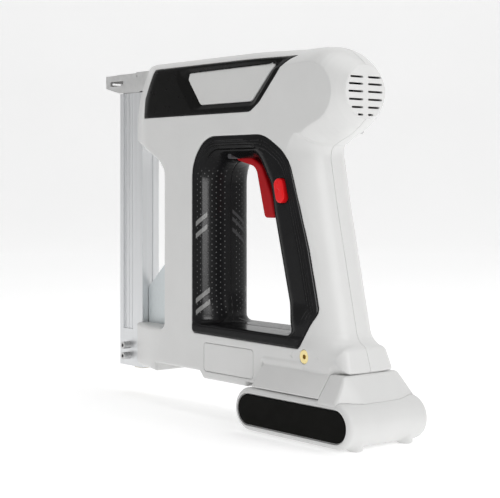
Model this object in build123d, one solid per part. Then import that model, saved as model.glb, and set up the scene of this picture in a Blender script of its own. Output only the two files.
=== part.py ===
from build123d import *
import math
import os

# Battery powered staple gun: housing, striker drive, magazine, trigger and battery pack.
# Frame: -X is the firing direction (front), +X the rear with the vents, +Z up.
# The housing halves part at Y = 0: left is -Y, right is +Y.  The origin lies on the resting
# plane, under the middle of the battery pack.  All sizes are in millimetres.

os.makedirs("parts", exist_ok=True)

# ---------------------------------------------------------------- driving sizes
HALF_W = 24.0              # half width of the flat sided body
WALL = 2.6                 # housing wall
SKIN = 1.5                 # depth of the trim and window panels
TOP_Z = 262.8
TOP_R = 10.0               # rounding of the top corners
MOTOR_Z = 231.0            # height of the motor and barrel axis
DISC_X = 35.5              # flat vent disc at the rear of the barrel
DISC_R = 18.0
HANDLE_R = 17.0            # rounding of the back of the handle
HOLE_FILLET = 16.0         # rounding of the finger hole edge

BLADE_Z = 252.2            # height of the striker blade and its guide rods
ROD_Y = 12.0               # guide rod spacing from the mid plane
ROD_R = 2.5
FRAME_Y = 20.2             # half width of the mechanism frame
PLATE_Y = 17.5             # inner face of its side plates
CROSS_X = -100.0           # cross shaft position
CROSS_AXIS = (CROSS_X, MOTOR_Z)
LIFT_MODULE = 1.4
LIFT_TEETH = 20            # teeth of the full lift gear circle
LIFT_R = LIFT_MODULE * LIFT_TEETH / 2
RACK_BACKLASH = 0.14
MOTOR_SHAFT_R = 1.6
MOTOR_BORE_R = MOTOR_SHAFT_R + 0.02

MAG_X0, MAG_X1 = -242.9, -211.6    # magazine front and rear
MAG_W = 8.0                        # magazine half width
MAG_Z0, MAG_Z1 = 24.0, 243.4
MAG_SCREW_X = -230.0
MAG_SCREW_Z = (40.5, 32.0)

BAT_X = 58.6               # battery half length
BAT_W = 36.0               # battery half width
BAT_Z0, BAT_Z1 = 1.0, 30.8

# places in the side view (X, Z)
BUTTON = (-28.5, 165.7)
LOCK_SCREW = (2.2, 55.5)
TRIGGER_PIVOT = (-90.0, 190.6)
LATCH_PIVOT = (-189.0, 49.0)
HOUSING_SCREWS = [
    (-176.0, 207.5), (-134.0, 206.5), (-33.0, 208.5), (13.5, 207.0), (-150.5, 176.0),
    (-150.5, 72.0), (-140.0, 46.5), (-55.5, 55.0), (26.5, 55.0),
]
SIDES = (-1, 1)            # left, right


# ---------------------------------------------------------------- outline helpers
def rounded_corners(points):
    """(start, middle, end) of each corner of a closed outline of (a, b) or (a, b, radius);
    the middle is None at a sharp corner"""
    corners = []
    for i, corner in enumerate(points):
        before, after = points[i - 1], points[(i + 1) % len(points)]
        radius = corner[2] if len(corner) > 2 else 0.0
        back = (before[0] - corner[0], before[1] - corner[1])
        ahead = (after[0] - corner[0], after[1] - corner[1])
        back_len, ahead_len = math.hypot(*back), math.hypot(*ahead)
        back = (back[0] / back_len, back[1] / back_len)
        ahead = (ahead[0] / ahead_len, ahead[1] / ahead_len)
        cosine = max(-1.0, min(1.0, back[0] * ahead[0] + back[1] * ahead[1]))
        angle = math.acos(cosine)
        if radius < 1e-6 or angle > math.pi - 0.02:
            corners.append((corner[:2], None, corner[:2]))
            continue
        # the tangent length is kept within both neighbouring sides
        tangent = min(radius / math.tan(angle / 2), back_len * 0.49, ahead_len * 0.49)
        radius = tangent * math.tan(angle / 2)
        start = (corner[0] + back[0] * tangent, corner[1] + back[1] * tangent)
        end = (corner[0] + ahead[0] * tangent, corner[1] + ahead[1] * tangent)
        bisector = (back[0] + ahead[0], back[1] + ahead[1])
        length = math.hypot(*bisector)
        reach = radius / math.sin(angle / 2) - radius
        middle = (corner[0] + bisector[0] / length * reach,
                  corner[1] + bisector[1] / length * reach)
        corners.append((start, middle, end))
    return corners


def outline_face(points, place):
    """planar face of an outline; place turns (a, b) into (x, y, z)"""
    corners = rounded_corners(points)
    edges = []
    for i, (start, middle, end) in enumerate(corners):
        if middle is not None:
            edges.append(Edge.make_three_point_arc(place(*start), place(*middle), place(*end)))
        next_start = corners[(i + 1) % len(corners)][0]
        if math.dist(next_start, end) > 1e-6:
            edges.append(Edge.make_line(place(*end), place(*next_start)))
    return Face(Wire(edges))


def prism_xz(points, y0, y1, offset=0.0, kind=Kind.ARC):
    """prism along Y of an (X, Z) outline, optionally offset outward"""
    face = outline_face(points, lambda x, z: (x, y0, z))
    if offset:
        wire = face.outer_wire().offset_2d(offset, kind=kind)
        face = Face(wire if isinstance(wire, Wire) else Wire(wire.edges()))
    return Solid.extrude(face, Vector(0, y1 - y0, 0))


def prism_yz(points, x0, x1):
    face = outline_face(points, lambda y, z: (x0, y, z))
    return Solid.extrude(face, Vector(x1 - x0, 0, 0))


def prism_xy(points, z0, z1):
    face = outline_face(points, lambda x, y: (x, y, z0))
    return Solid.extrude(face, Vector(0, 0, z1 - z0))


def rect(a0, a1, b0, b1, radius):
    """outline of a rectangle with rounded corners"""
    return [(a0, b0, radius), (a1, b0, radius), (a1, b1, radius), (a0, b1, radius)]


def hexagon(center, radius, start=0):
    """outline of a hexagon, its first corner at start degrees"""
    angles = [math.radians(60 * k + start) for k in range(6)]
    return [(center[0] + radius * math.cos(a), center[1] + radius * math.sin(a))
            for a in angles]


def lines(points):
    """edges joining consecutive points"""
    return [Edge.make_line(a, b) for a, b in zip(points, points[1:])]


# ---------------------------------------------------------------- solid helpers
def box(x0, x1, y0, y1, z0, z1):
    return Solid.make_box(x1 - x0, y1 - y0, z1 - z0, Plane((x0, y0, z0)))


def cyl(radius, start, axis, length):
    """cylinder from a start point along axis X, Y or Z; the length may be negative"""
    direction = {"X": (1, 0, 0), "Y": (0, 1, 0), "Z": (0, 0, 1)}[axis]
    if length < 0:
        start = tuple(start[i] + direction[i] * length for i in range(3))
        length = -length
    return Solid.make_cylinder(radius, length, Plane(origin=start, z_dir=direction))


def cyl_y(radius, place, y0, length):
    """cylinder along Y at an (X, Z) place"""
    return cyl(radius, (place[0], y0, place[1]), "Y", length)


def cyl_motor(radius, x0, length):
    """cylinder on the motor axis"""
    return cyl(radius, (x0, 0, MOTOR_Z), "X", length)


def motor_circle(radius, count, start):
    """(y, z) of evenly spaced places around the motor axis, the first at start degrees"""
    angles = [math.radians(start + 360 / count * k) for k in range(count)]
    return [(radius * math.cos(a), MOTOR_Z + radius * math.sin(a)) for a in angles]


def one(result):
    """a boolean result as one shape"""
    if isinstance(result, (list, tuple)):
        solids = [solid for shape in result for solid in shape.solids()]
        return solids[0] if len(solids) == 1 else Compound(children=solids)
    return result


def fuse(shape, *others):
    for other in others:
        shape = one(shape + other)
    return shape


def cut(shape, *tools):
    for tool in tools:
        shape = one(shape - tool)
    return shape


def common(first, second):
    return one(first.intersect(second))


def mirror_y(shape):
    return shape.mirror(Plane.XZ)


def edges_at_y(shape, y):
    """edges whose centre lies at +y or -y"""
    return [e for e in shape.edges() if abs(abs(e.center().Y) - y) < 1e-3]


def slab_outside(point, normal):
    """thick square slab standing on a plane, centred on the point"""
    plane = Plane(origin=point, z_dir=normal)
    shift = plane.x_dir * -100 + plane.y_dir * -100
    return Solid.make_box(200, 200, 60, plane).moved(Location(shift))


def coil(start, axis, length, radius, wire, turns):
    """coil spring along X or Z; wire is the wire diameter"""
    plane = {"X": Plane(origin=start, x_dir=(0, 1, 0), z_dir=(1, 0, 0)),
             "Z": Plane(origin=start, x_dir=(1, 0, 0), z_dir=(0, 0, 1))}[axis]
    path = Wire([Edge.make_helix(length / turns, length, radius)]).moved(plane.location)
    section = Wire.make_circle(wire / 2, Plane(origin=path @ 0, z_dir=path % 0))
    return Solid.sweep(Face(section), path)


def save(name, *shapes, min_volume=0.05):
    """write the solids above a smallest volume as one STEP file"""
    solids = [s for shape in shapes for s in shape.solids() if s.volume > min_volume]
    shape = solids[0] if len(solids) == 1 else Compound(children=solids)
    export_step(shape, f"parts/{name}.step")


# ---------------------------------------------------------------- housing outlines
# (X, Z[, corner radius])
BODY = [
    (-216.0, 26.5, 1.0), (-172.0, 27.0, 0.8), (-172.0, 33.5, 0.8), (-115.0, 33.5, 1.5),
    (-110.0, 28.3, 1.5), (-60.0, 28.3, 0.8), (-60.0, 31.4, 0.8), (-42.0, 31.4), (-42.0, 47.0),
    (41.0, 47.0, 1.2), (35.4, 63.3, 3.0), (-6.0, 63.3), (-6.0, 200.0), (2.0, 200.0),
    (2.0, 262.8), (-194.5, 262.8, 3.0), (-199.0, 259.0, 3.0), (-214.0, 236.0, 6.0),
    (-214.0, 203.0, 2.0), (-188.0, 198.5, 3.0), (-167.0, 188.5, 6.0), (-159.5, 182.5, 6.0),
    (-159.5, 60.3, 5.0), (-216.0, 60.3, 1.0),
]
CAVITY = [
    (-168.0, 36.2), (-113.8, 36.2), (-108.9, 31.0), (-62.6, 31.0), (-62.6, 49.6),
    (37.4, 49.6), (33.4, 60.7), (-6.0, 60.7), (-6.0, 200.0), (2.0, 200.0), (2.0, 260.2),
    (-190.0, 260.2), (-195.0, 257.2), (-209.0, 236.0), (-209.0, 205.8), (-187.0, 201.2),
    (-165.5, 191.0), (-156.9, 184.0), (-156.9, 57.7), (-168.0, 57.7),
]
HOLE = [
    (-106.0, 67.8, 9.0), (-106.0, 186.2, 13.0), (-60.0, 186.2, 12.0), (-47.0, 167.0, 20.0),
    (-43.5, 148.0, 60.0), (-25.4, 79.5, 11.0), (-27.8, 66.6, 7.0),
]
RING = [
    (-123.3, 61.0, 3.5), (-123.3, 186.0, 30.0), (-107.5, 204.7, 24.0), (-41.0, 204.7, 30.0),
    (-15.2, 190.2, 22.0), (-9.8, 178.0, 30.0), (3.9, 127.0, 60.0), (13.8, 85.5, 8.0),
    (-4.5, 60.0, 5.0),
]
TRIM = [
    (-187.0, 220.6, 0.8), (-58.0, 220.6, 9.0), (-50.0, 229.5, 16.0),
    (-17.5, 256.4), (-173.5, 256.8, 1.0), (-187.0, 236.5, 1.0),
]
WINDOW = [
    (-132.0, 251.2, 2.0), (-129.0, 247.0, 3.0), (-113.5, 226.6, 3.5), (-62.0, 226.9, 7.0),
    (-24.0, 251.5, 1.5),
]
LABEL = rect(-109.0, -52.0, 34.0, 55.0, 3.0)
# back of the handle (X, Z)
HANDLE_BACK = [
    (31.5, 64.0), (26.5, 75.0), (22.5, 90.0), (18.8, 106.0), (14.8, 124.0), (11.2, 140.0),
    (7.6, 155.0), (5.2, 168.0), (6.0, 180.0), (12.0, 190.0), (20.0, 198.0),
]
HANDLE_TOP_Z, HANDLE_BOTTOM_Z = 206.0, 52.0
HANDLE_FRONT_X = -48.0
# barrel stations (X, radius)
BARREL = [
    (-72.0, 20.0), (-60.0, 24.2), (-45.0, 28.0), (-25.0, 31.2), (-8.0, 31.8), (4.0, 31.5),
    (14.0, 30.0), (22.0, 27.2), (29.5, 22.6),
]
# left cutters (X, Y) of the body's tapering front; their first side is the taper face
UPPER_TAPER = [(-241.0, 2.0), (-160.0, -37.0), (-227.0, -84.0), (-300.0, -60.0)]
UPPER_TAPER_NORMAL = (-13.0, -27.0)
LOWER_TAPER = [(-260.5, 3.0), (-149.25, -30.75), (-171.5, -70.0), (-320.0, -70.0)]
LOWER_TAPER_NORMAL = (-13.5, -44.5)


# ---------------------------------------------------------------- housing envelope
def taper_cutter(points, normal, inset, z0, z1):
    """prism that removes the material outside a taper face moved inward by inset"""
    length = math.hypot(*normal)
    shift_x, shift_y = normal[0] / length * inset, normal[1] / length * inset
    return prism_xy([(x - shift_x, y - shift_y) for x, y in points], z0, z1)


def front_cutters(inset):
    upper = taper_cutter(UPPER_TAPER, UPPER_TAPER_NORMAL, inset, 150.0, 300.0)
    # leaning face above the upper taper
    normal = Vector(27.0, -13.0, 0.0).cross(Vector(16.0, 0.0, 24.0)).normalized()
    leaning = slab_outside(Vector(-214.0, -11.0, 236.0) - normal * inset, normal)
    leaning = common(leaning, box(-320, -100, -120, 0.0, 215.0, 300.0))
    lower = taper_cutter(LOWER_TAPER, LOWER_TAPER_NORMAL, inset, 0.0, 100.0)
    return [upper, leaning, mirror_y(upper), mirror_y(leaning), lower, mirror_y(lower)]


def barrel(inset):
    stations = [Vector(x, 0, radius - inset) for x, radius in BARREL]
    front_x = stations[0].X
    disc_x = DISC_X - inset - (0.4 if inset else 0.0)
    rest = [stations[-1], Vector(disc_x, 0, DISC_R - inset), Vector(disc_x, 0, 0),
            Vector(front_x, 0, 0), stations[0]]
    face = Face(Wire([Edge.make_spline(stations)] + lines(rest)))
    turned = Solid.revolve(face, 360, Axis((0, 0, 0), (1, 0, 0)))
    return turned.moved(Location((0, 0, MOTOR_Z)))


def handle(inset):
    """rear part of the grip: flat sides running into a rounded back"""
    half_w = HALF_W - inset
    back = [Vector(x - inset, -half_w, z) for x, z in HANDLE_BACK]
    rest = [back[-1],
            Vector(HANDLE_BACK[-1][0] - inset, -half_w, HANDLE_TOP_Z),
            Vector(HANDLE_FRONT_X, -half_w, HANDLE_TOP_Z),
            Vector(HANDLE_FRONT_X, -half_w, HANDLE_BOTTOM_Z),
            Vector(HANDLE_BACK[0][0] - inset, -half_w, HANDLE_BOTTOM_Z),
            back[0]]
    face = Face(Wire([Edge.make_spline(back)] + lines(rest)))
    grip = Solid.extrude(face, Vector(0, 2 * half_w, 0))
    curved = [e for e in grip.edges() if e.geom_type != GeomType.LINE]
    return grip.fillet(HANDLE_R - inset, curved)


def hole_plate(inset):
    """plate with the finger hole and its rounded rim"""
    half_w = HALF_W - inset
    plate = box(-260, 80, -half_w, half_w, 0, 300) - prism_xz(HOLE, -60, 60, inset)
    rim = [e for e in edges_at_y(plate, half_w)
           if -135 < e.center().X < -20 and 55 < e.center().Z < 200]
    return plate.fillet(HOLE_FILLET - inset, rim)


def envelope(inset):
    """outer form of the housing, moved inward by inset"""
    half_w, top, radius = HALF_W - inset, TOP_Z - inset, TOP_R - inset
    if inset < 2.0:
        body = prism_xz(BODY, -half_w, half_w, -inset, Kind.INTERSECTION)
    else:
        body = prism_xz(CAVITY, -half_w, half_w)
    section = [(-half_w, -10), (half_w, -10), (half_w, top, radius), (-half_w, top, radius)]
    body = common(body, prism_yz(section, -320, 120))
    for cutter in front_cutters(inset):
        body = body - cutter
    body = fuse(body, handle(inset))
    body = common(body, hole_plate(inset))
    return fuse(body, barrel(inset))


# ---------------------------------------------------------------- gear teeth
def tooth_profile(tooth_count, module, backlash, addendum, dedendum, pressure_angle,
                  steps, root_gap):
    """(radius, angle from the tooth centre) points of one involute tooth"""
    def involute(angle):
        return math.tan(angle) - angle

    pressure = math.radians(pressure_angle)
    pitch_r = tooth_count * module / 2
    base_r = pitch_r * math.cos(pressure)
    tip_r, root_r = pitch_r + addendum * module, pitch_r - dedendum * module
    half = math.pi / (2 * tooth_count) - backlash / (2 * pitch_r)
    start_r = max(base_r, root_r)
    flank = []
    for j in range(steps):
        radius = start_r + (tip_r - start_r) * j / (steps - 1)
        roll = math.acos(min(1.0, base_r / radius))
        flank.append((radius, half + involute(pressure) - involute(roll)))
    root_half = flank[0][1] + root_gap
    return ([(root_r, -math.pi / tooth_count), (root_r, -root_half)]
            + [(radius, -angle) for radius, angle in flank]
            + flank[::-1]
            + [(root_r, root_half)])


def gear_outline(tooth_count, module, backlash, start_angle=0.0, dedendum=1.25,
                 full_teeth=None):
    """closed (u, v) outline of a spur gear, tooth 0 centred on start_angle;
    teeth outside full_teeth stay at root size"""
    profile = tooth_profile(tooth_count, module, backlash, addendum=1.0, dedendum=dedendum,
                            pressure_angle=20.0, steps=7, root_gap=0.02)
    pitch = 2 * math.pi / tooth_count
    blank = [(profile[0][0], -pitch / 2 + pitch * j / 4) for j in range(4)]
    points = []
    for k in range(tooth_count):
        full = full_teeth is None or k in full_teeth
        for radius, offset in profile if full else blank:
            angle = start_angle + k * pitch + offset
            points.append((radius * math.cos(angle), radius * math.sin(angle)))
    return points


BEVEL_MODULE = 1.3
PINION_TEETH, WHEEL_TEETH = 10, 20
CONE_LENGTH = math.hypot(BEVEL_MODULE * PINION_TEETH / 2, BEVEL_MODULE * WHEEL_TEETH / 2)


def bevel_section(tooth_count, mate_teeth, start_angle):
    """section of a bevel gear at unit distance from its apex (Tredgold teeth)"""
    cone_angle = math.atan2(tooth_count, mate_teeth)
    virtual_teeth = tooth_count / math.cos(cone_angle)
    pitch_r = BEVEL_MODULE * virtual_teeth / 2
    profile = tooth_profile(virtual_teeth, BEVEL_MODULE, backlash=0.16, addendum=0.8,
                            dedendum=1.0, pressure_angle=25.0, steps=5, root_gap=0.01)
    points = []
    for k in range(tooth_count):
        center = start_angle + k * 2 * math.pi / tooth_count
        for radius, offset in profile:
            reach = math.tan(cone_angle + (radius - pitch_r) / CONE_LENGTH)
            angle = center + offset / math.cos(cone_angle)
            points.append((reach * math.cos(angle), reach * math.sin(angle)))
    return points


def cone_gear(section, near, far, axis):
    """ruled body between the section scaled to two distances from the apex"""
    loops = []
    for d in (near, far):
        if axis == "Y":
            points = [Vector(CROSS_X + a * d, d, MOTOR_Z + b * d) for a, b in section]
        else:
            points = [Vector(CROSS_X + d, a * d, MOTOR_Z + b * d) for a, b in section]
        loops.append(Wire.make_polygon(points, close=True))
    return Solid.make_loft(loops, True)


# ---------------------------------------------------------------- lift drive on the cross shaft
CROSS_R = 4.0
CROSS_BORE = cyl_y(CROSS_R + 0.02, CROSS_AXIS, -30, 60)


def make_lift_gear():
    """sector gear under the rack; outline angle 0 points to +Z and grows toward +X"""
    sector = {k % LIFT_TEETH for k in range(-1, 10)}
    outline = gear_outline(LIFT_TEETH, LIFT_MODULE, RACK_BACKLASH, full_teeth=sector)
    gear = prism_xz([(CROSS_X + v, MOTOR_Z + u) for u, v in outline], -13.0, -8.6)
    gear = fuse(gear, cyl_y(6.5, CROSS_AXIS, -15.2, 6.4))
    return cut(gear, CROSS_BORE)


def make_bevel_gear():
    section = bevel_section(WHEEL_TEETH, PINION_TEETH, math.pi / WHEEL_TEETH)
    gear = cone_gear(section, 4.6, 9.2, "Y")
    gear = common(gear, cyl_y(14.2, CROSS_AXIS, 0, 20))
    gear = fuse(gear, cyl_y(9.0, CROSS_AXIS, 9.2, 3.2))
    return cut(gear, CROSS_BORE)


def make_bevel_pinion():
    pinion = cone_gear(bevel_section(PINION_TEETH, WHEEL_TEETH, 0.0), 8.7, 13.2, "X")
    pinion = fuse(pinion, cyl_motor(3.6, CROSS_X + 13.2, 2.6))
    return cut(pinion, cyl_motor(2.52, CROSS_X + 5, 40))


def make_bearings():
    bearing = cyl_y(7.0, CROSS_AXIS, PLATE_Y, FRAME_Y - PLATE_Y)
    bearing = cut(bearing, cyl_y(4.05, CROSS_AXIS, 10, 20))
    groove = cut(cyl_y(6.0, CROSS_AXIS, FRAME_Y - 0.4, 2.0),
                 cyl_y(5.0, CROSS_AXIS, FRAME_Y - 0.5, 2.2))
    bearing = cut(bearing, groove)
    return [bearing, mirror_y(bearing)]


# ---------------------------------------------------------------- mechanism frame and striker
FRAME_SIDE = [
    (-186, 236, 1), (-150, 224, 4), (-140, 214, 4), (-44, 214, 4), (-44, 230, 2),
    (-35, 240, 3), (-35, 256, 1), (-186, 256, 1),
]
# round openings in each side plate (X, Z, radius)
FRAME_OPENINGS = [(CROSS_X, MOTOR_Z, 7.05), (-130, 238, 7.0), (-160, 240, 6.0), (-70, 226, 6.0)]


def make_frame():
    web = prism_xz(FRAME_SIDE, PLATE_Y, FRAME_Y)
    web = cut(web, *[cyl_y(r, (x, z), 10, 20) for x, z, r in FRAME_OPENINGS])

    def cross_plate(x0, x1, z0, z1):
        return box(x0, x1, -FRAME_Y, FRAME_Y, z0, z1)

    front = cut(cross_plate(-186, -181, 238, 256), box(-190, -175, -6.5, 6.5, 250.0, 254.6))
    rear = cut(cross_plate(-40, -35, 240, 256), cyl_motor(18.4, -50, 40))
    gear_plate = cut(cross_plate(-82.0, -79.2, 214, 242.6), cyl_motor(3.9, -90, 20))
    tie = cross_plate(-140, -134, 216, 219.5)
    frame = fuse(web, front, mirror_y(web), rear, gear_plate, tie)
    for side in SIDES:
        frame = cut(frame, cyl(ROD_R + 0.02, (-184.0, side * ROD_Y, BLADE_Z), "X", 147.5))
    return common(frame, envelope(WALL + 0.45))


CARRIAGE_X0, CARRIAGE_X1 = -134.0, -60.5    # fully drawn back
BLADE_PIN_X = CARRIAGE_X0 + 12
RACK_FIRST, RACK_LAST = -1, 9               # rack tooth numbers


def make_rack():
    pitch = math.pi * LIFT_MODULE
    pitch_z = MOTOR_Z + LIFT_R
    root_z = pitch_z + 1.25 * LIFT_MODULE
    tip_z = pitch_z - LIFT_MODULE
    top_z = 247.9
    first_gap = CROSS_X - pitch / 2
    slope = math.tan(math.radians(20))
    half_tooth = pitch / 4 - RACK_BACKLASH / 2
    root_half = half_tooth + 1.25 * LIFT_MODULE * slope
    tip_half = half_tooth - LIFT_MODULE * slope
    front = first_gap + RACK_FIRST * pitch - pitch / 2 + 0.2
    rear = first_gap + RACK_LAST * pitch + pitch / 2 - 0.2
    outline = [(front, top_z), (front, root_z)]
    for k in range(RACK_FIRST, RACK_LAST + 1):
        x = first_gap + k * pitch
        outline += [(x - root_half, root_z), (x - tip_half, tip_z),
                    (x + tip_half, tip_z), (x + root_half, root_z)]
    outline += [(rear, root_z), (rear, top_z)]
    return prism_xz(outline, -13.4, -8.2)


def make_carriage():
    section = [(-16.2, 247.6, 1), (16.2, 247.6, 1), (16.2, 256.4, 2), (-16.2, 256.4, 2)]
    carriage = prism_yz(section, CARRIAGE_X0, CARRIAGE_X1)
    for side in SIDES:
        carriage = cut(carriage, cyl(ROD_R + 0.07, (-150, side * ROD_Y, BLADE_Z), "X", 120))
    carriage = cut(
        carriage,
        box(CARRIAGE_X0 - 1, CARRIAGE_X0 + 24.05, -5.75, 5.75, BLADE_Z - 0.72, BLADE_Z + 0.72),
        cyl(2.02, (BLADE_PIN_X, 0, 240), "Z", 30))
    for x in (-104, -84):
        carriage = cut(carriage, prism_xy(rect(x - 8, x + 8, -6, 6, 2), 252.5, 262))
    return fuse(carriage, make_rack())


def make_blade():
    blade = box(-226.4, CARRIAGE_X0 + 24.0, -5.6, 5.6, BLADE_Z - 0.6, BLADE_Z + 0.6)
    return cut(blade, cyl(2.04, (BLADE_PIN_X, 0, 240), "Z", 30))


def make_bumper(side):
    y = side * ROD_Y
    section = rect(y - 4.6, y + 4.6, BLADE_Z - 3.6, BLADE_Z + 3.6, 1.5)
    return cut(prism_yz(section, -180.95, -171.5), cyl(2.6, (-190, y, BLADE_Z), "X", 30))


# ---------------------------------------------------------------- gearbox
PLANET_CIRCLE = motor_circle(8.0, 3, 90)    # (y, z) of the planet gears


def make_gearbox():
    case = cut(cyl_motor(16.2, -79.1, 29.0), cyl_motor(14.4, -76.5, 24.5),
               cyl_motor(2.6, -90, 60))
    for y, z in motor_circle(16.9, 4, 45):
        case = cut(case, cyl(2.0, (-60.0, y, z), "X", 12))
    # flat relief along the upper left of the case, under the passing rack teeth
    case = cut(case, box(-80.0, -59.4, -14.6, -7.9, 243.35, 250.0))
    ring_gear = cut(cyl_motor(14.45, -74.0, 14.0), cyl_motor(12.6, -80, 30))
    return fuse(case, ring_gear)


def make_planets():
    outline = gear_outline(12, 0.8, 0.1, dedendum=1.1)
    scale = 0.68
    return [cut(prism_yz([(y + u * scale, z + v * scale) for u, v in outline], -73.5, -66.5),
                cyl(1.27, (-80, y, z), "X", 20))
            for y, z in PLANET_CIRCLE]


def make_planet_carrier():
    carrier = cyl_motor(11.8, -76.2, 2.2)
    for y, z in PLANET_CIRCLE:
        carrier = fuse(carrier, cyl(1.2, (-74.2, y, z), "X", 8.0))
    return fuse(carrier, cyl_motor(2.5, CROSS_X + 10.0, 15.9))


# ---------------------------------------------------------------- motor and fan
def make_motor_can():
    can = cut(cyl_motor(17.3, -50.0, 52.0), cyl_motor(15.9, -48.2, 60), cyl_motor(3.2, -60, 30))
    return cut(can, box(-12, -4, -3, 3, MOTOR_Z + 10, MOTOR_Z + 30),
               box(-12, -4, -3, 3, MOTOR_Z - 30, MOTOR_Z - 10))


def make_magnets():
    tube = cut(cyl_motor(15.85, -46.0, 32.0), cyl_motor(13.3, -50, 60))
    return [common(tube, box(-60, 10, y0, y1, 200, 260)) for y0, y1 in ((2.5, 20), (-20, -2.5))]


def make_brushes():
    return [box(-12.5, -7.5, y0, y1, MOTOR_Z - 2.2, MOTOR_Z + 2.2)
            for y0, y1 in ((5.3, 13.0), (-13.0, -5.3))]


def make_armature():
    armature = cyl_motor(12.6, -44.0, 28.0)
    for y, z in motor_circle(11.4, 5, 90):
        armature = cut(armature, cyl(3.0, (-60, y, z), "X", 60))
    armature = fuse(armature, cyl_motor(5.2, -14.0, 8.0))
    return cut(armature, cyl_motor(MOTOR_BORE_R, -80, 120))


def make_sun_gear():
    outline = gear_outline(12, 0.54, 0.1, start_angle=0.26, dedendum=1.1)
    gear = prism_yz([(u, MOTOR_Z + v) for u, v in outline], -73.3, -66.6)
    return cut(gear, cyl_motor(MOTOR_BORE_R, -90, 120))


def make_motor_end_cap():
    cap = fuse(cyl_motor(17.4, 2.05, 3.2), cyl_motor(6.0, 5.2, 2.5))
    return cut(cap, cyl_motor(1.66, -80, 120))


def make_fan():
    blade_count, twist = 7, 28
    fan = cyl_motor(4.0, 9.0, 7.5)
    blade = box(9.4, 16.2, -0.7, 0.7, MOTOR_Z + 3.0, MOTOR_Z + 15.5)
    blade = blade.rotate(Axis((12.8, 0, MOTOR_Z + 9), (0, 0, 1)), twist)
    for k in range(blade_count):
        turned = blade.rotate(Axis((0, 0, MOTOR_Z), (1, 0, 0)), 360 / blade_count * k)
        fan = fuse(fan, turned)
    return cut(fan, cyl_motor(MOTOR_BORE_R, -80, 120))


# ---------------------------------------------------------------- trigger group
TRIGGER = [
    (-94.6, 191.4, 4.0), (-89.5, 196.0, 4.2), (-82.0, 193.2, 5.0), (-65.0, 184.0, 12.0),
    (-54.5, 164.0, 26.0), (-49.5, 146.3, 2.6), (-61.7, 146.3, 3.0), (-68.6, 171.0, 30.0),
    (-71.6, 182.4, 9.0), (-92.5, 187.4, 2.5),
]
TRIGGER_RIB = [(-64.0, 176.0, 1.0), (-52.6, 176.0, 1.0), (-49.9, 152.0, 1.0), (-58.0, 152.0, 1.0)]
PLUNGER_Z = 168.0
PAD_LENGTH, PAD_WIDTH = 17.0, 9.0    # pads of the lock button
PAD_TILT = 14.8                      # lean of their long axis from +Z toward -X, degrees


def make_trigger():
    trigger = fuse(prism_xz(TRIGGER, -6.0, 6.0), prism_xz(TRIGGER_RIB, -2.6, 2.6))
    return cut(trigger, cyl_y(2.06, TRIGGER_PIVOT, -20, 40))


def make_switch():
    switch = cut(box(-40.5, -31.7, -8.0, 8.0, 149.2, 181.0),
                 cyl(2.06, (-60, 0, PLUNGER_Z), "X", 25.8))
    for z in (152.5, 177.5):
        switch = cut(switch, cyl_y(1.5, (-37.0, z), -20, 40))
    for y in (-4.5, 0.0, 4.5):
        switch = fuse(switch, box(-31.7, -27.2, y - 1.0, y + 1.0, 152.0, 152.8))
    return switch


def button_prism(y0, y1, grow=0.0):
    """tilted stadium prism along Y at the lock button"""
    radius = PAD_WIDTH / 2 + grow
    reach = (PAD_LENGTH - PAD_WIDTH) / 2
    tilt = math.radians(PAD_TILT)

    def at(along, across):
        x = BUTTON[0] - math.sin(tilt) * along + math.cos(tilt) * across
        z = BUTTON[1] + math.cos(tilt) * along + math.sin(tilt) * across
        return (x, y0, z)

    edges = []
    for end in (1, -1):
        far, width = end * reach, end * radius
        edges.append(Edge.make_line(at(-far, width), at(far, width)))
        edges.append(Edge.make_three_point_arc(at(far, width), at(far + width, 0),
                                               at(far, -width)))
    return Solid.extrude(Face(Wire(edges)), Vector(0, y1 - y0, 0))


def make_lock_button():
    bar = cyl_y(2.6, BUTTON, -20.5, 40.5)
    left, right = button_prism(-27.0, -18.2), button_prism(16.4, 24.0)
    left = left.fillet(1.2, edges_at_y(left, 27.0))
    right = right.fillet(1.0, edges_at_y(right, 24.0))
    x, z = BUTTON
    mark = prism_xz([(x - 1.2, z + 1.6), (x + 1.4, z + 0.2), (x - 0.6, z - 1.8)], -30.0, -26.7)
    return fuse(bar, cut(left, mark), right)


# ---------------------------------------------------------------- nose
NOSE = [
    (-264.0, 258.8, 0.6), (-264.0, 248.7, 0.8), (-244.8, 244.1, 2.0), (-216.6, 243.6, 1.0),
    (-213.0, 244.4), (-197.2, 244.4), (-197.2, 259.8, 0.6), (-219.6, 259.8, 0.8),
    (-221.0, 258.8, 0.6),
]
GUIDE = [
    (-262.6, 248.2, 0.5), (-244.6, 244.6, 1.0), (-197.4, 244.6), (-197.4, 257.6),
    (-262.6, 257.6, 0.8),
]
NOSE_SCREW_X = (-209.0, -201.4)
NOSE_PIN = (-219.0, 256.6)
NOSE_SLOT = prism_xz(rect(-257.7, -238.2, 250.0, 253.9, 1.6), -12, 12)
NOSE_PIN_HOLE = cyl_y(1.03, NOSE_PIN, -20, 40)


def make_nose_plates():
    cheek = prism_xz(NOSE, -8.0, -6.4)
    plates = fuse(cheek, mirror_y(cheek), box(-250.0, -221.5, -7.0, 7.0, 257.7, 259.2))
    return cut(plates, NOSE_SLOT, NOSE_PIN_HOLE)


def make_nose_guide():
    guide = cut(
        prism_xz(GUIDE, -6.3, 6.3),
        box(-270, -190, -5.75, 5.75, BLADE_Z - 0.75, BLADE_Z + 0.95),
        box(-243.1, -225.7, -5.9, 5.9, 240.0, BLADE_Z - 0.7),
        NOSE_SLOT)
    for x in NOSE_SCREW_X:
        guide = cut(guide, cyl(1.55, (x, 0, 253.2), "Z", 10))
    return cut(guide, NOSE_PIN_HOLE)


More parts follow.
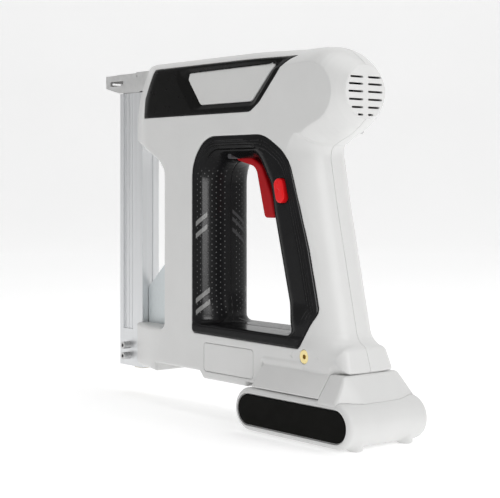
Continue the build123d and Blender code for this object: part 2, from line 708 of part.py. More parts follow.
def make_nose_screw(x):
    screw = fuse(cyl(1.5, (x, 0, 253.4), "Z", 4.3), cyl(2.7, (x, 0, 257.65), "Z", 2.4))
    return cut(screw, prism_xy(hexagon((x, 0), 1.3), 258.7, 262))


# ---------------------------------------------------------------- magazine
def anchor_hole(side, z):
    return cyl_y(1.55, (MAG_SCREW_X, z), 5.0 * side, 6.0 * side)


def make_channel():
    z0, z1 = MAG_Z0 - 1, MAG_Z1 + 1
    wall = box(MAG_X0, MAG_X1, -MAG_W, -5.8, MAG_Z0, MAG_Z1)
    wall = cut(wall, box(-238.0, -224.4, -12.0, -6.9, z0, z1))
    for x in (-235.6, -231.2, -226.8):
        wall = cut(wall, box(x - 0.3, x + 0.3, -7.2, -6.7, z0, z1))
    rear = box(-213.6, MAG_X1, -6.0, 6.0, MAG_Z0, MAG_Z1)
    lips = [box(-211.7, -210.9, y0, y1, MAG_Z0, MAG_Z1) for y0, y1 in ((-7.9, -2.2), (2.2, 7.9))]
    channel = fuse(wall, mirror_y(wall), rear, *lips)
    return cut(channel, *[anchor_hole(side, z) for side in SIDES for z in MAG_SCREW_Z])


def make_anchor(side):
    y0, y1 = sorted((6.92 * side, 8.0 * side))
    anchor = box(-237.95, -224.45, y0, y1, 24.0, 53.6)
    return cut(anchor, *[anchor_hole(side, z) for z in MAG_SCREW_Z])


def make_magazine_screw(side, z):
    place = (MAG_SCREW_X, z)
    screw = fuse(cyl_y(2.85, place, 8.05 * side, 6.2 * side),
                 cyl_y(1.5, place, 5.95 * side, 2.3 * side))
    return cut(screw, prism_xz(hexagon(place, 1.5), *sorted((11.5 * side, 16 * side))))


def make_magazine_core():
    return fuse(box(-242.7, -240.95, -5.6, 5.6, 34.1, 250.6),
                box(-241.0, -227.45, -4.4, 4.4, 34.1, 250.6),
                box(-240.95, -214.2, -5.5, 5.5, 34.1, 36.0))


def make_magazine_end_cap():
    bottom = 25.6
    cap = box(-242.4, -214.2, -5.6, 5.6, bottom, 34.0)
    return cap.fillet(1.2, [e for e in cap.edges() if abs(e.center().Z - bottom) < 1e-3])


def make_end_cap_latch():
    return fuse(box(-226.5, -216.0, -5.0, 5.0, 22.6, 25.55),
                box(-224.0, -219.0, -2.0, 2.0, 25.5, 25.6))


def make_staple_strip():
    return fuse(box(-227.35, -226.45, -5.55, 5.55, 190.6, 250.6),
                box(-240.75, -227.35, -5.55, -4.75, 190.6, 250.6),
                box(-240.75, -227.35, 4.75, 5.55, 190.6, 250.6))


def make_pusher():
    return fuse(box(-226.3, -214.4, -5.4, 5.4, 178.5, 190.4),
                box(-240.7, -226.3, -5.5, -4.75, 178.5, 190.4),
                box(-240.7, -226.3, 4.75, 5.5, 178.5, 190.4))


MAG_LATCH = [
    (-210.4, 46.0, 1.5), (-210.4, 87.7, 1.0), (-194.6, 101.8, 1.0), (-180.0, 114.0, 3.0),
    (-171.5, 112.0, 3.0), (-172.5, 98.0, 6.0), (-178.5, 80.0, 8.0), (-180.5, 44.0, 3.0),
    (-196.0, 42.5, 4.0),
]


def make_magazine_latch():
    return cut(prism_xz(MAG_LATCH, -2.4, 2.4), cyl_y(2.06, LATCH_PIVOT, -10, 20))


# ---------------------------------------------------------------- foot
CONTACT_Y = 8     # spacing of the battery contacts from the mid plane


def make_controller_board():
    return fuse(box(-106.0, -66.0, -16.0, 16.0, 41.0, 42.6),
                box(-98, -90, -8, 8, 42.5, 47.0),
                cyl(4.0, (-80, 6, 42.5), "Z", 7.0),
                cyl(4.0, (-80, -6, 42.5), "Z", 7.0),
                box(-74, -70, -9, 9, 42.5, 45.0))


def make_contact_block():
    block = box(-36.8, -13.2, -12.8, 12.8, 44.6, 50.4)
    for side in SIDES:
        y = side * CONTACT_Y
        block = fuse(block, box(-34, -17, y - 0.6, y + 0.6, 38.0, 44.8),
                     box(-30, -20, y - 1.0, y + 1.0, 50.2, 54.0))
    return block


def make_lock_screw():
    screw = fuse(cyl_y(4.5, LOCK_SCREW, -24.35, 2.3), cyl_y(2.4, LOCK_SCREW, -22.1, 10.0))
    return cut(screw, prism_xz(hexagon(LOCK_SCREW, 1.75, 20), -30, -20.4))


# ---------------------------------------------------------------- battery pack
FOOT_X, FOOT_Y, FOOT_R = 49.5, 22.5, 4.7
PANEL_Y = 36.1                # outer face of the side panels
COVER_Z = 46.6                # top of the cover
CELL_PITCH = 18.8


def stadium(inset, y0, y1):
    """side view of the battery case as a prism along Y"""
    half_h = (BAT_Z1 - BAT_Z0) / 2 - inset
    z = (BAT_Z1 + BAT_Z0) / 2
    half_l = BAT_X - inset
    return prism_xz(rect(-half_l, half_l, z - half_h, z + half_h, half_h - 0.001), y0, y1)


def make_battery_case():
    case = stadium(0.0, -BAT_W, BAT_W)
    case = case.fillet(3.6, edges_at_y(case, BAT_W))
    for x in (-FOOT_X, FOOT_X):
        for y in (-FOOT_Y, FOOT_Y):
            case = fuse(case, cyl(FOOT_R, (x, y, 0.0), "Z", 8.0))
    # low pad in the middle of the underside, level with the feet
    case = fuse(case, prism_xy(rect(-19, 19, -13, 13, 3), 0.0, 2.0))
    case = cut(case, stadium(2.2, -32.8, 32.8))
    for side in SIDES:
        case = cut(case, stadium(3.9, *sorted((34.2 * side, 40 * side))))
    return cut(case, box(-32, 20, -16, 16, 26, 40),
               prism_yz(rect(-11.25, 11.25, 10.75, 21.25, 2.2), -70.0, -52.0))


def make_side_panel(side):
    panel = stadium(4.2, *sorted((34.25 * side, PANEL_Y * side)))
    return panel.fillet(0.5, edges_at_y(panel, PANEL_Y))


def make_battery_board():
    return fuse(box(-40, 44, -22, 22, 25.6, 27.0), box(24, 34, -10, 10, 26.9, 28.2),
                box(-39, -34, -18, 18, 26.9, 28.0))


def rect_loft(*sections):
    """ruled loft through horizontal rectangles (x0, x1, half width, z)"""
    wires = []
    for x0, x1, y, z in sections:
        corners = [Vector(x0, -y, z), Vector(x1, -y, z), Vector(x1, y, z), Vector(x0, y, z)]
        wires.append(Wire.make_polygon(corners, close=True))
    return Solid.make_loft(wires, True)


def make_battery_cover():
    cover = rect_loft((27.4, 41.0, 24, COVER_Z), (27.4, 48.5, 35.4, BAT_Z1))
    # gusset planes between the rear face and the flared sides
    for side in SIDES:
        top = Vector(41.0, side * 24.0, 47.0)
        low_rear = Vector(53.5, side * 17.6, 24.0)
        low_side = Vector(45.0, side * 36.0, 29.5)
        normal = (low_rear - top).cross(low_side - top).normalized()
        if normal.X < 0:
            normal = normal * -1
        cover = cut(cover, slab_outside(top, normal))
    rear_skirt = rect_loft((29.0, 41.0, 24, COVER_Z), (29.0, 53.4, 17.6, 24.0))
    cover = fuse(cover, rear_skirt)
    cover = cut(cover, stadium(-0.02, -BAT_W - 5, BAT_W + 5),
                box(30.5, 38.5, -20, 20, 33.5, 44.0))
    rail = cut(box(-38.0, 30.0, -19.0, 19.0, BAT_Z1 + 0.02, 42.6),
               box(-35.5, 29.0, -16.8, 16.8, 29.0, 36.5))
    for side in SIDES:
        contact_y, edge_y = side * CONTACT_Y, side * 19
        rail = cut(rail, box(-39.0, -14.0, contact_y - 1.4, contact_y + 1.4, 37.2, 44.0),
                   box(-39.0, 24.0, edge_y - 1.6, edge_y + 1.6, 33.2, 38.6))
    return fuse(cover, rail)


def make_pack_contact(side):
    y = side * CONTACT_Y
    return fuse(box(-35, -16, y + 0.75, y + 1.3, 37.3, 42.4),
                box(-35, -16, y - 1.3, y - 0.75, 37.3, 42.4),
                box(-35, -16, y - 1.3, y + 1.3, 37.22, 37.7))


def make_battery_release():
    return fuse(prism_yz(rect(-11.0, 11.0, 11.0, 21.0, 2.0), -60.6, -55.0),
                prism_yz(rect(-7.0, 7.0, 12.6, 19.4, 1), -55.1, -51.5))


# ---------------------------------------------------------------- housing
# vent slots of the rear disc, on each side of the parting line (Z, outer end in Y)
VENTS = [(240.6, 13.6), (236.0, 15.0), (231.0, 15.4), (225.8, 15.0), (220.6, 12.8), (215.8, 7.0)]
VENT_INNER_Y = 1.9
VENT_HALF_H = 0.75
# front edges of the small louvres along the spine
LOUVRES_X = (-150, -145, -140, -135, -62, -57, -52, -47, -36, -31, -26, -21, -16)
LOUVRE_LENGTH, LOUVRE_HALF_W = 2.2, 4.5
# opening around the trigger (X, Z)
TRIGGER_OPENING = [
    (-97.5, 183.0), (-97.5, 198.0), (-82.0, 198.0), (-57.0, 193.0), (-39.5, 178.0),
    (-39.5, 144.0), (-75.0, 144.0),
]
# flared skirt on the right of the foot (Y, Z[, corner radius])
SKIRT = [(20.6, 50.4), (20.6, 45.4), (32.2, 31.3, 0.4), (35.4, 31.3, 0.8), (24.0, 46.6),
         (24.0, 50.4)]


def make_ribs(inner):
    """screw bosses and ribs inside the halves"""
    def rib(x0, x1, z0, z1, y0=-40, y1=40):
        return box(x0, x1, y0, y1, z0, z1)

    boss_y = HALF_W + 12
    parts = [cyl_y(4.3, place, -boss_y, 2 * boss_y) for place in HOUSING_SCREWS]
    # motor bulkheads
    parts += [cut(rib(x - 1.2, x + 1.2, 196, 270), cyl_motor(17.6, x - 5, 10))
              for x in (-46.0, -6.0)]
    # cross ribs of the handle, then of the front column
    parts += [rib(-30, 40, z - 1, z + 1) for z in (128.0, 96.0)]
    parts += [rib(-165, -100, z - 1, z + 1) for z in (90.0, 120.0, 150.0)]
    # below and above the switch
    parts += [rib(-46.0, -26.0, 145.0, 149.0), rib(-50.0, -26.0, 181.2, 184.0)]
    # around and under the controller board
    parts += [rib(-108.0, -106.2, 30, 50), rib(-65.8, -64.4, 30, 50),
              rib(-107, -65, 38.8, 40.9, y1=-13.0), rib(-107, -65, 38.8, 40.9, y0=13.0)]
    # pads beside the mechanism frame
    parts += [rib(-180, -30, 222, 254, y1=-20.35), rib(-180, -30, 222, 254, y0=20.35)]
    parts.append(cyl_y(4.6, TRIGGER_PIVOT, -40, 80))
    # room for frame, motor, fan and switch
    clearance = fuse(
        box(-187, -34, -20.3, 20.3, 213.6, 259.0),
        cyl_motor(17.6, -60, 67.0), cyl_motor(18.4, 6.5, 12.0),
        box(-50.2, -28.0, -8.2, 8.2, 149.1, 181.1))
    return common(cut(fuse(*parts), clearance), inner)


def housing_openings():
    lock_x, lock_z = LOCK_SCREW
    arrow = [(lock_x - 15.6, lock_z, 0.2), (lock_x - 12.4, lock_z - 2.3, 0.2),
             (lock_x - 12.4, lock_z + 2.3, 0.2)]
    ring_center = (lock_x + 13.1, lock_z)
    openings = [
        box(-245, -210.6, -8.2, 8.2, 20, 244.6),              # magazine
        box(-270, -188.0, -8.2, 8.2, 243.0, 260.05),          # nose
        box(-214.5, -196.0, -3.4, 3.4, 255, 265),             # nose screw access
        box(-211.4, -166.0, -2.7, 2.7, 38.0, 70.0),           # magazine latch slot
        cyl_y(2.02, LATCH_PIVOT, -7.2, 14.4),
        prism_xz(TRIGGER_OPENING, -6.35, 6.35),
        cyl_y(2.02, TRIGGER_PIVOT, -15.2, 30.4),
        button_prism(-40, 40, 0.25),
        box(-44.0, 70.0, -20.0, 20.0, 30.0, 44.4),            # battery pocket
        box(-37.0, -13.0, -13.0, 13.0, 43.0, 52.0),           # contact block
        cyl_y(4.75, LOCK_SCREW, -30.0, 8.2),
        cyl_y(2.5, LOCK_SCREW, -30.0, 20.0),
        prism_xz(arrow, -30, -23.5),                          # triangle and ring marks
        cut(cyl_y(2.6, ring_center, -30, 6.5), cyl_y(2.0, ring_center, -31, 9.0)),
    ]
    for z, outer_y in VENTS:
        for side in SIDES:
            y0, y1 = sorted((side * VENT_INNER_Y, side * outer_y))
            slot = rect(y0, y1, z - VENT_HALF_H, z + VENT_HALF_H, 0.6)
            openings.append(prism_yz(slot, 28.0, 40.0))
    for x in LOUVRES_X:
        slot = rect(x, x + LOUVRE_LENGTH, -LOUVRE_HALF_W, LOUVRE_HALF_W, 0.6)
        openings.append(prism_xy(slot, 257.0, 266.0))
    return openings


def make_shell(outer):
    inner = envelope(WALL)
    shell = fuse(cut(outer, inner), make_ribs(inner))
    shell = cut(shell, *housing_openings())
    skirt = cut(prism_yz(SKIRT, -41.0, 27.0), box(-60, 60, 20.0, 23.4, 47.2, 60))
    shell = fuse(shell, skirt, mirror_y(skirt))
    for place in HOUSING_SCREWS:
        shell = cut(shell, cyl_y(1.45, place, -13.2, 28.3), cyl_y(3.1, place, 14.98, 30.0))
    return shell


def make_housing_screw(place):
    screw = fuse(cyl_y(2.9, place, 15.0, 2.4), cyl_y(1.4, place, -13.0, 28.1))
    return cut(screw, prism_xz(hexagon(place, 1.4), 16.0, 20.0))


def save_housing():
    """split the shell into housing, grip ring, top trim, window and label panels"""
    left_half = box(-400, 200, -100, 0, -10, 400)
    right_half = box(-400, 200, 0, 100, -10, 400)

    def save_halves(name, zone, min_volume):
        save(f"{name}_left", common(zone, left_half), min_volume=min_volume)
        save(f"{name}_right", common(zone, right_half), min_volume=min_volume)

    outer = envelope(0.0)
    shell = make_shell(outer)
    ring_prism, trim_prism, window_prism, label_prism = [
        prism_xz(outline, -60, 60) for outline in (RING, TRIM, WINDOW, LABEL)]
    skin = cut(outer, envelope(SKIN))
    flanks = fuse(box(-300, 100, -60, -10.4, 0, 300), box(-300, 100, 10.4, 60, 0, 300))
    label_block = common(label_prism, box(-300, 100, -60, -23.0, 0, 100))

    ring_zone = common(shell, ring_prism)
    body_zone = cut(shell, ring_prism)
    trim_zone = common(common(common(body_zone, skin), trim_prism), flanks)
    window_zone = common(trim_zone, window_prism)
    trim_zone = cut(trim_zone, window_prism)
    label_zone = common(body_zone, label_block)
    body_zone = cut(body_zone, common(trim_prism, common(skin, flanks)), label_block)

    save_halves("housing", body_zone, 40.0)
    save_halves("grip_ring", ring_zone, 40.0)
    save_halves("top_trim", trim_zone, 5.0)
    save_halves("window_panel", window_zone, 5.0)
    save("label_panel_left", common(label_zone, left_half), min_volume=5.0)


# ---------------------------------------------------------------- build and save
save_housing()
save("housing_screws", *[make_housing_screw(place) for place in HOUSING_SCREWS])

save("nose_plates", make_nose_plates())
save("nose_guide", make_nose_guide())
save("nose_screws", *[make_nose_screw(x) for x in NOSE_SCREW_X],
     cyl_y(1.0, NOSE_PIN, -7.9, 15.8))

save("mechanism_frame", make_frame())
save("guide_rods", *[cyl(ROD_R, (-183.9, side * ROD_Y, BLADE_Z), "X", 147.2) for side in SIDES])
save("striker_bumpers", *[make_bumper(side) for side in SIDES])
save("striker_springs", *[coil((-59.6, side * ROD_Y, BLADE_Z), "X", length=18.8, radius=3.4,
                               wire=1.1, turns=9) for side in SIDES])
save("striker_blade", make_blade())
save("striker_carriage", make_carriage(), cyl(2.0, (BLADE_PIN_X, 0, 247.7), "Z", 8.6))
save("shaft_bearings", *make_bearings())
save("lift_gear", make_lift_gear())
save("bevel_gear", make_bevel_gear())
save("cross_shaft", cyl_y(CROSS_R, CROSS_AXIS, -FRAME_Y, 2 * FRAME_Y))
save("bevel_pinion", make_bevel_pinion())

save("gearbox_case", make_gearbox())
save("planet_carrier", make_planet_carrier())
save("planet_gears", *make_planets())
save("motor_can", make_motor_can())
save("motor_magnets", *make_magnets())
save("motor_brushes", *make_brushes())
save("motor_end_cap", make_motor_end_cap())
save("motor_armature", make_armature())
save("motor_shaft", cyl_motor(MOTOR_SHAFT_R, -73.4, 90.4), make_sun_gear())
save("cooling_fan", make_fan())

save("trigger", make_trigger())
save("pivot_pins", cyl_y(2.0, TRIGGER_PIVOT, -15.0, 30.0), cyl_y(2.0, LATCH_PIVOT, -7.0, 14.0))
save("trigger_switch", make_switch())
save("switch_plunger", cyl(2.0, (-50.4, 0, PLUNGER_Z), "X", 12.5))
save("trigger_spring", coil((-49.4, 0, 156.0), "X", length=8.3, radius=2.0, wire=0.6, turns=5))
save("lock_button", make_lock_button())

save("magazine_channel", make_channel())
save("magazine_anchors", *[make_anchor(side) for side in SIDES])
save("magazine_screws", *[make_magazine_screw(side, z) for side in SIDES for z in MAG_SCREW_Z])
save("magazine_core", make_magazine_core())
save("magazine_end_cap", make_magazine_end_cap(), make_end_cap_latch())
save("staple_strip", make_staple_strip())
save("staple_pusher", make_pusher())
save("pusher_spring", coil((-220.3, 0, 37.0), "Z", length=140.6, radius=4.3, wire=0.8, turns=22))
save("magazine_latch", make_magazine_latch())

save("lock_screw", make_lock_screw())
save("controller_board", make_controller_board())
save("contact_block", make_contact_block())
save("battery_case", make_battery_case())
save("battery_cover", make_battery_cover())
save("battery_panel_left", make_side_panel(-1))
save("battery_panel_right", make_side_panel(1))
save("battery_cells", *[cyl_y(9.15, (CELL_PITCH * k, 15.9), -32.5, 65.0) for k in range(-2, 3)])
save("battery_board", make_battery_board())
save("battery_contacts", *[make_pack_contact(side) for side in SIDES])
save("battery_release", make_battery_release())
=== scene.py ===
# Cordless staple gun standing on its battery pack: housing shells, lining, trim, trigger, springs,
# materials and studio. The nose points to -X, the rear to +X, Z is up and Y = 0 is the parting
# plane, with the left half at -Y. Shapes are in millimetres; lights, camera and floor in metres.
import math
from functools import reduce

import bmesh
import bpy
import numpy as np
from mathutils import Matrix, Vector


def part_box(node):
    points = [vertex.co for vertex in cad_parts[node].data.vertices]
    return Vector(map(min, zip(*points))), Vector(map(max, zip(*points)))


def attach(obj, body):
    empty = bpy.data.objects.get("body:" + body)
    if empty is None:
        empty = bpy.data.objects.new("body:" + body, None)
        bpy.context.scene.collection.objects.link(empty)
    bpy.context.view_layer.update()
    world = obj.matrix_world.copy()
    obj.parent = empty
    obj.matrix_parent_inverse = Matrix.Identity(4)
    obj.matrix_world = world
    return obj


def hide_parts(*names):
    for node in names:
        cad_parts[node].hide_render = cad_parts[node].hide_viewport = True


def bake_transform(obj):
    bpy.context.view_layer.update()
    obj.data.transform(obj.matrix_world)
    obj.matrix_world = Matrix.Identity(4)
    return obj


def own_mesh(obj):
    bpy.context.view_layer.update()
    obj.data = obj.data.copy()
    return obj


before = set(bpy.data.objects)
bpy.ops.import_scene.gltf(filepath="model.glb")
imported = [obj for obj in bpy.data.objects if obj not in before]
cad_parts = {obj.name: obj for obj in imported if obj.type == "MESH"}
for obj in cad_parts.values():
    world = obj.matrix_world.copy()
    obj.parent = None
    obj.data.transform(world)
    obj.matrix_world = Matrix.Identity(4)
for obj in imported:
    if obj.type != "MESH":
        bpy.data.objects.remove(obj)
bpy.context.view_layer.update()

import openvdb as vdb
from mathutils import Matrix, Vector

MM = 0.001
HOUSING_STEP = 0.6   # voxel sizes
PACK_STEP = 0.42
SMALL_STEP = 0.32
HANDS = (("left", False), ("right", True))   # hand, mirrored across Y = 0

HALF_WIDTH = 24.0        # housing, from the parting plane
BARREL_Z = 231.0         # height of the barrel axis
BARREL_FRONT, BARREL_REAR = -76.0, 35.5
FOOT_BOTTOM, FOOT_TOP = 47.0, 63.3
TRIM_INNER = 10.4        # trim and windows stop this far from the parting plane


# ---------------------------------------------------------------- distance fields
# A field is negative inside its solid.
def rounded_poly(corners, steps=7):
    """closed outline from (x, z[, radius]) rows; a rounded corner gets steps + 1 points"""
    outline = []
    count = len(corners)
    for i in range(count):
        before, corner, after = corners[i - 1], corners[i], corners[(i + 1) % count]
        radius = corner[2] if len(corner) > 2 else 0.0
        tip = np.array(corner[:2], float)
        to_before = np.array(before[:2], float) - tip
        to_after = np.array(after[:2], float) - tip
        len_before, len_after = np.linalg.norm(to_before), np.linalg.norm(to_after)
        to_before, to_after = to_before / len_before, to_after / len_after
        angle = math.acos(max(-1, min(1, float(to_before @ to_after))))
        if radius < 1e-6 or angle > math.pi - 0.02:
            outline.append((corner[0], corner[1]))
            continue
        reach = min(radius / math.tan(angle / 2), len_before * 0.49, len_after * 0.49)
        radius = reach * math.tan(angle / 2)
        bisector = (to_before + to_after) / np.linalg.norm(to_before + to_after)
        centre = tip + bisector * (radius / math.sin(angle / 2))
        start = tip + to_before * reach
        end = tip + to_after * reach
        first = math.atan2(start[1] - centre[1], start[0] - centre[0])
        last = math.atan2(end[1] - centre[1], end[0] - centre[0])
        sweep = (last - first + math.pi) % (2 * math.pi) - math.pi
        for k in range(steps + 1):
            turn = first + sweep * k / steps
            outline.append((centre[0] + radius * math.cos(turn),
                            centre[1] + radius * math.sin(turn)))
    return np.array(outline)


def outline_distance(outline, x, z):
    """signed distance to a closed outline"""
    x, z = np.asarray(x, dtype=np.float32), np.asarray(z, dtype=np.float32)
    shape = np.broadcast(x, z).shape
    nearest = np.full(shape, 1e12, dtype=np.float32)
    inside = np.zeros(shape, dtype=bool)
    for i in range(len(outline)):
        x0, z0 = outline[i - 1]
        x1, z1 = outline[i]
        edge_x, edge_z = x1 - x0, z1 - z0
        length_sq = edge_x * edge_x + edge_z * edge_z
        if length_sq < 1e-12:
            continue
        from_x, from_z = x - x0, z - z0
        t = np.clip((from_x * edge_x + from_z * edge_z) / length_sq, 0, 1)
        gap_x, gap_z = from_x - edge_x * t, from_z - edge_z * t
        np.minimum(nearest, gap_x * gap_x + gap_z * gap_z, out=nearest)
        if abs(edge_z) > 1e-12:
            inside ^= ((z0 > z) != (z1 > z)) & (x < edge_x * (z - z0) / edge_z + x0)
    distance = np.sqrt(nearest)
    return np.where(inside, -distance, distance).astype(np.float32)


def smooth_step(value, low, high):
    t = np.clip((value - low) / (high - low), 0, 1)
    return t * t * (3 - 2 * t)


def round_common(a, b, radius):
    """intersection with a rounded edge"""
    u, v = a + radius, b + radius
    corner = np.sqrt(np.maximum(u, 0) ** 2 + np.maximum(v, 0) ** 2)
    return np.minimum(np.maximum(u, v), 0) + corner - radius


def round_union(a, b, radius):
    return -round_common(-a, -b, radius)


def soft_union(a, b, reach):
    """union with a fillet about as wide as reach"""
    reach = np.maximum(reach, 1e-3)
    near = np.maximum(reach - np.abs(a - b), 0) / reach
    return np.minimum(a, b) - near * near * reach * 0.25


def common(*fields):
    """sharp intersection"""
    return reduce(np.maximum, fields)


def cut(solid, *tools):
    return common(solid, *(-tool for tool in tools))


def plane(length, *terms):
    """half space; terms are (coordinate, where it passes, normal part), length is the normal's"""
    return sum((value - at) * part for value, at, part in terms) / length


def box(x, side, z, x0, x1, half_width, z0, z1):
    return common(x0 - x, x - x1, side - half_width, z0 - z, z - z1)


# ---------------------------------------------------------------- field to mesh
def axes(low, high, step):
    """coordinate arrays of a voxel grid, shaped to broadcast against each other"""
    x, y, z = (np.arange(a, b, step, dtype=np.float32) for a, b in zip(low, high))
    return x[:, None, None], y[None, :, None], z[None, None, :]


def sample(field, points):
    """trilinear value of the field at points given in voxels"""
    points = np.clip(points, 0, np.array(field.shape) - 1.001)
    cell = np.floor(points).astype(int)
    t = points - cell
    x0, y0, z0 = cell[:, 0], cell[:, 1], cell[:, 2]
    tx, ty, tz = t[:, 0], t[:, 1], t[:, 2]

    def along_x(y, z):
        return field[x0, y, z] * (1 - tx) + field[x0 + 1, y, z] * tx

    low = along_x(y0, z0) * (1 - ty) + along_x(y0 + 1, z0) * ty
    high = along_x(y0, z0 + 1) * (1 - ty) + along_x(y0 + 1, z0 + 1) * ty
    return low * (1 - tz) + high * tz


def project(points, field, step, origin):
    """pull the vertices onto the zero level of the unclipped field"""
    reach = 0.6   # voxels either side for the gradient
    for _ in range(2):
        at = (points - np.array(origin)) / step
        value = sample(field, at)
        gradient = np.stack([
            sample(field, at + np.array(axis) * reach) - sample(field, at - np.array(axis) * reach)
            for axis in ((1, 0, 0), (0, 1, 0), (0, 0, 1))], 1) / (2 * reach * step)
        square = np.maximum((gradient * gradient).sum(1), 0.15)
        move = (value / square)[:, None] * gradient
        length = np.linalg.norm(move, axis=1)
        move *= np.minimum(1.0, 0.35 * step / np.maximum(length, 1e-9))[:, None]
        points = points - move
    return points


def surface(field, step, origin):
    """points, triangles and quads of the zero level"""
    grid = vdb.FloatGrid(3 * step)
    grid.copyFromArray(np.clip(field, -3 * step, 3 * step).astype(np.float32))
    points, tris, quads = grid.convertToPolygons(isovalue=0.0, adaptivity=0.0)
    points = points.astype(np.float64) * step + np.array(origin)
    return project(points, field, step, origin), tris, quads


def shade(mesh):
    mesh.polygons.foreach_set("use_smooth", np.ones(len(mesh.polygons), dtype=bool))
    mesh.set_sharp_from_angle(angle=math.radians(48))
    mesh.update()


def add_object(name, data):
    ob = bpy.data.objects.new(name, data)
    bpy.context.collection.objects.link(ob)
    return ob


def make_object(name, skin, material, mirror=False):
    """mesh object from a surface in mm; mirror builds the opposite hand"""
    points, tris, quads = skin
    points = points.copy()
    tris = np.asarray(tris, dtype=np.int32).reshape(-1, 3)
    quads = np.asarray(quads, dtype=np.int32).reshape(-1, 4)
    if mirror:
        points[:, 1] *= -1
    else:
        tris, quads = tris[:, ::-1], quads[:, ::-1]
    mesh = bpy.data.meshes.new(name)
    mesh.vertices.add(len(points))
    mesh.vertices.foreach_set("co", (points * MM).astype(np.float32).ravel())
    loops = np.concatenate([tris.ravel(), quads.ravel()]).astype(np.int32)
    mesh.loops.add(len(loops))
    mesh.loops.foreach_set("vertex_index", loops)
    starts = np.concatenate([np.arange(len(tris)) * 3,
                             len(tris) * 3 + np.arange(len(quads)) * 4]).astype(np.int32)
    mesh.polygons.add(len(starts))
    mesh.polygons.foreach_set("loop_start", starts)
    mesh.update(calc_edges=True)
    mesh.validate()
    mesh.update()
    ob = add_object(name, mesh)
    mesh.materials.append(material)
    shade(mesh)
    return ob


def thin(ob, ratio):
    """reduce the polygons"""
    modifier = ob.modifiers.new("thin", "DECIMATE")
    modifier.ratio = ratio
    modifier.use_collapse_triangulate = True
    evaluated = ob.evaluated_get(bpy.context.evaluated_depsgraph_get())
    mesh = bpy.data.meshes.new_from_object(evaluated)
    ob.modifiers.clear()
    dense = ob.data
    ob.data = mesh
    mesh.name = ob.name
    bpy.data.meshes.remove(dense)
    shade(mesh)


def fit(ob, carrier, node):
    """move with the carrier and stand in for a CAD piece"""
    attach(ob, carrier)
    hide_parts(node)


# ---------------------------------------------------------------- shader helpers
def add_node(tree, kind, inputs=None, **settings):
    """new node; inputs are keyed by name or index"""
    node = tree.nodes.new("ShaderNode" + kind)
    for key, value in settings.items():
        setattr(node, key, value)
    for key, value in (inputs or {}).items():
        feed(tree, node, key, value)
    return node


def feed(tree, node, key, value):
    """link a socket to an input, or set a plain value"""
    if isinstance(value, bpy.types.NodeSocket):
        tree.links.new(value, node.inputs[key])
    else:
        node.inputs[key].default_value = value


def new_material(name):
    material = bpy.data.materials.new(name)
    material.use_nodes = True
    tree = material.node_tree
    tree.nodes.clear()
    output = add_node(tree, "OutputMaterial")
    shader = add_node(tree, "BsdfPrincipled")
    tree.links.new(shader.outputs[0], output.inputs[0])
    return material, tree, shader


def object_coords(tree, scale=(1, 1, 1)):
    coords = add_node(tree, "TexCoord").outputs["Object"]
    return add_node(tree, "Mapping", {"Scale": scale, "Vector": coords}).outputs[0]


def noise(tree, coords, scale, detail=3.0, roughness=0.55):
    return add_node(tree, "TexNoise", {
        "Scale": scale, "Detail": detail, "Roughness": roughness, "Vector": coords}).outputs["Fac"]


NOISE_LOW, NOISE_HIGH = 0.3, 0.7   # part of a noise that is spread over the output range


def ramp(tree, factor, low_color, high_color):
    node = add_node(tree, "ValToRGB", {0: factor})
    stops = ((NOISE_LOW, low_color), (NOISE_HIGH, high_color))
    for element, (position, color) in zip(node.color_ramp.elements, stops):
        element.position = position
        element.color = (*color, 1.0)
    return node.outputs[0]


def spread_ramp(tree, factor, color, spread):
    return ramp(tree, factor, tuple(c * (1 - spread) for c in color),
                tuple(c * (1 + spread) for c in color))


def map_noise(tree, factor, low, high):
    return add_node(tree, "MapRange", {
        "From Min": NOISE_LOW, "From Max": NOISE_HIGH,
        "To Min": low, "To Max": high, "Value": factor}).outputs[0]


def bump(tree, shader, height, strength, distance):
    node = add_node(tree, "Bump", {"Strength": strength, "Distance": distance, "Height": height})
    tree.links.new(node.outputs[0], shader.inputs["Normal"])


def plastic(name, color, rough, grain, coat=0.0, grain_scale=2600.0, spread=0.02, specular=0.5):
    material, tree, shader = new_material(name)
    coords = object_coords(tree)
    clouds = noise(tree, coords, scale=35.0, detail=4.0)
    feed(tree, shader, "Base Color", spread_ramp(tree, clouds, color, spread))
    fine = noise(tree, coords, scale=grain_scale, detail=2.0)
    smudge = noise(tree, coords, scale=160.0)
    feed(tree, shader, "Roughness", map_noise(tree, smudge, low=rough * 0.88, high=rough * 1.12))
    bump(tree, shader, fine, strength=grain, distance=0.00006)
    feed(tree, shader, "Specular IOR Level", specular)
    feed(tree, shader, "Coat Weight", coat)
    feed(tree, shader, "Coat Roughness", 0.22)
    return material


BRUSH_SCALE = {"X": (6, 900, 900), "Z": (900, 900, 6), None: (300, 300, 300)}


def metal(name, color, rough, grain, brush=None, spread=0.05, depth=0.00005):
    """metal with a grain drawn out along the brush axis"""
    material, tree, shader = new_material(name)
    coords = object_coords(tree, BRUSH_SCALE[brush])
    streaks = noise(tree, coords, scale=1.0, detail=4.0, roughness=0.6)
    feed(tree, shader, "Base Color", spread_ramp(tree, streaks, color, spread))
    feed(tree, shader, "Roughness", map_noise(tree, streaks, low=rough * 0.8, high=rough * 1.25))
    feed(tree, shader, "Metallic", 1.0)
    bump(tree, shader, streaks, strength=grain, distance=depth)
    return material


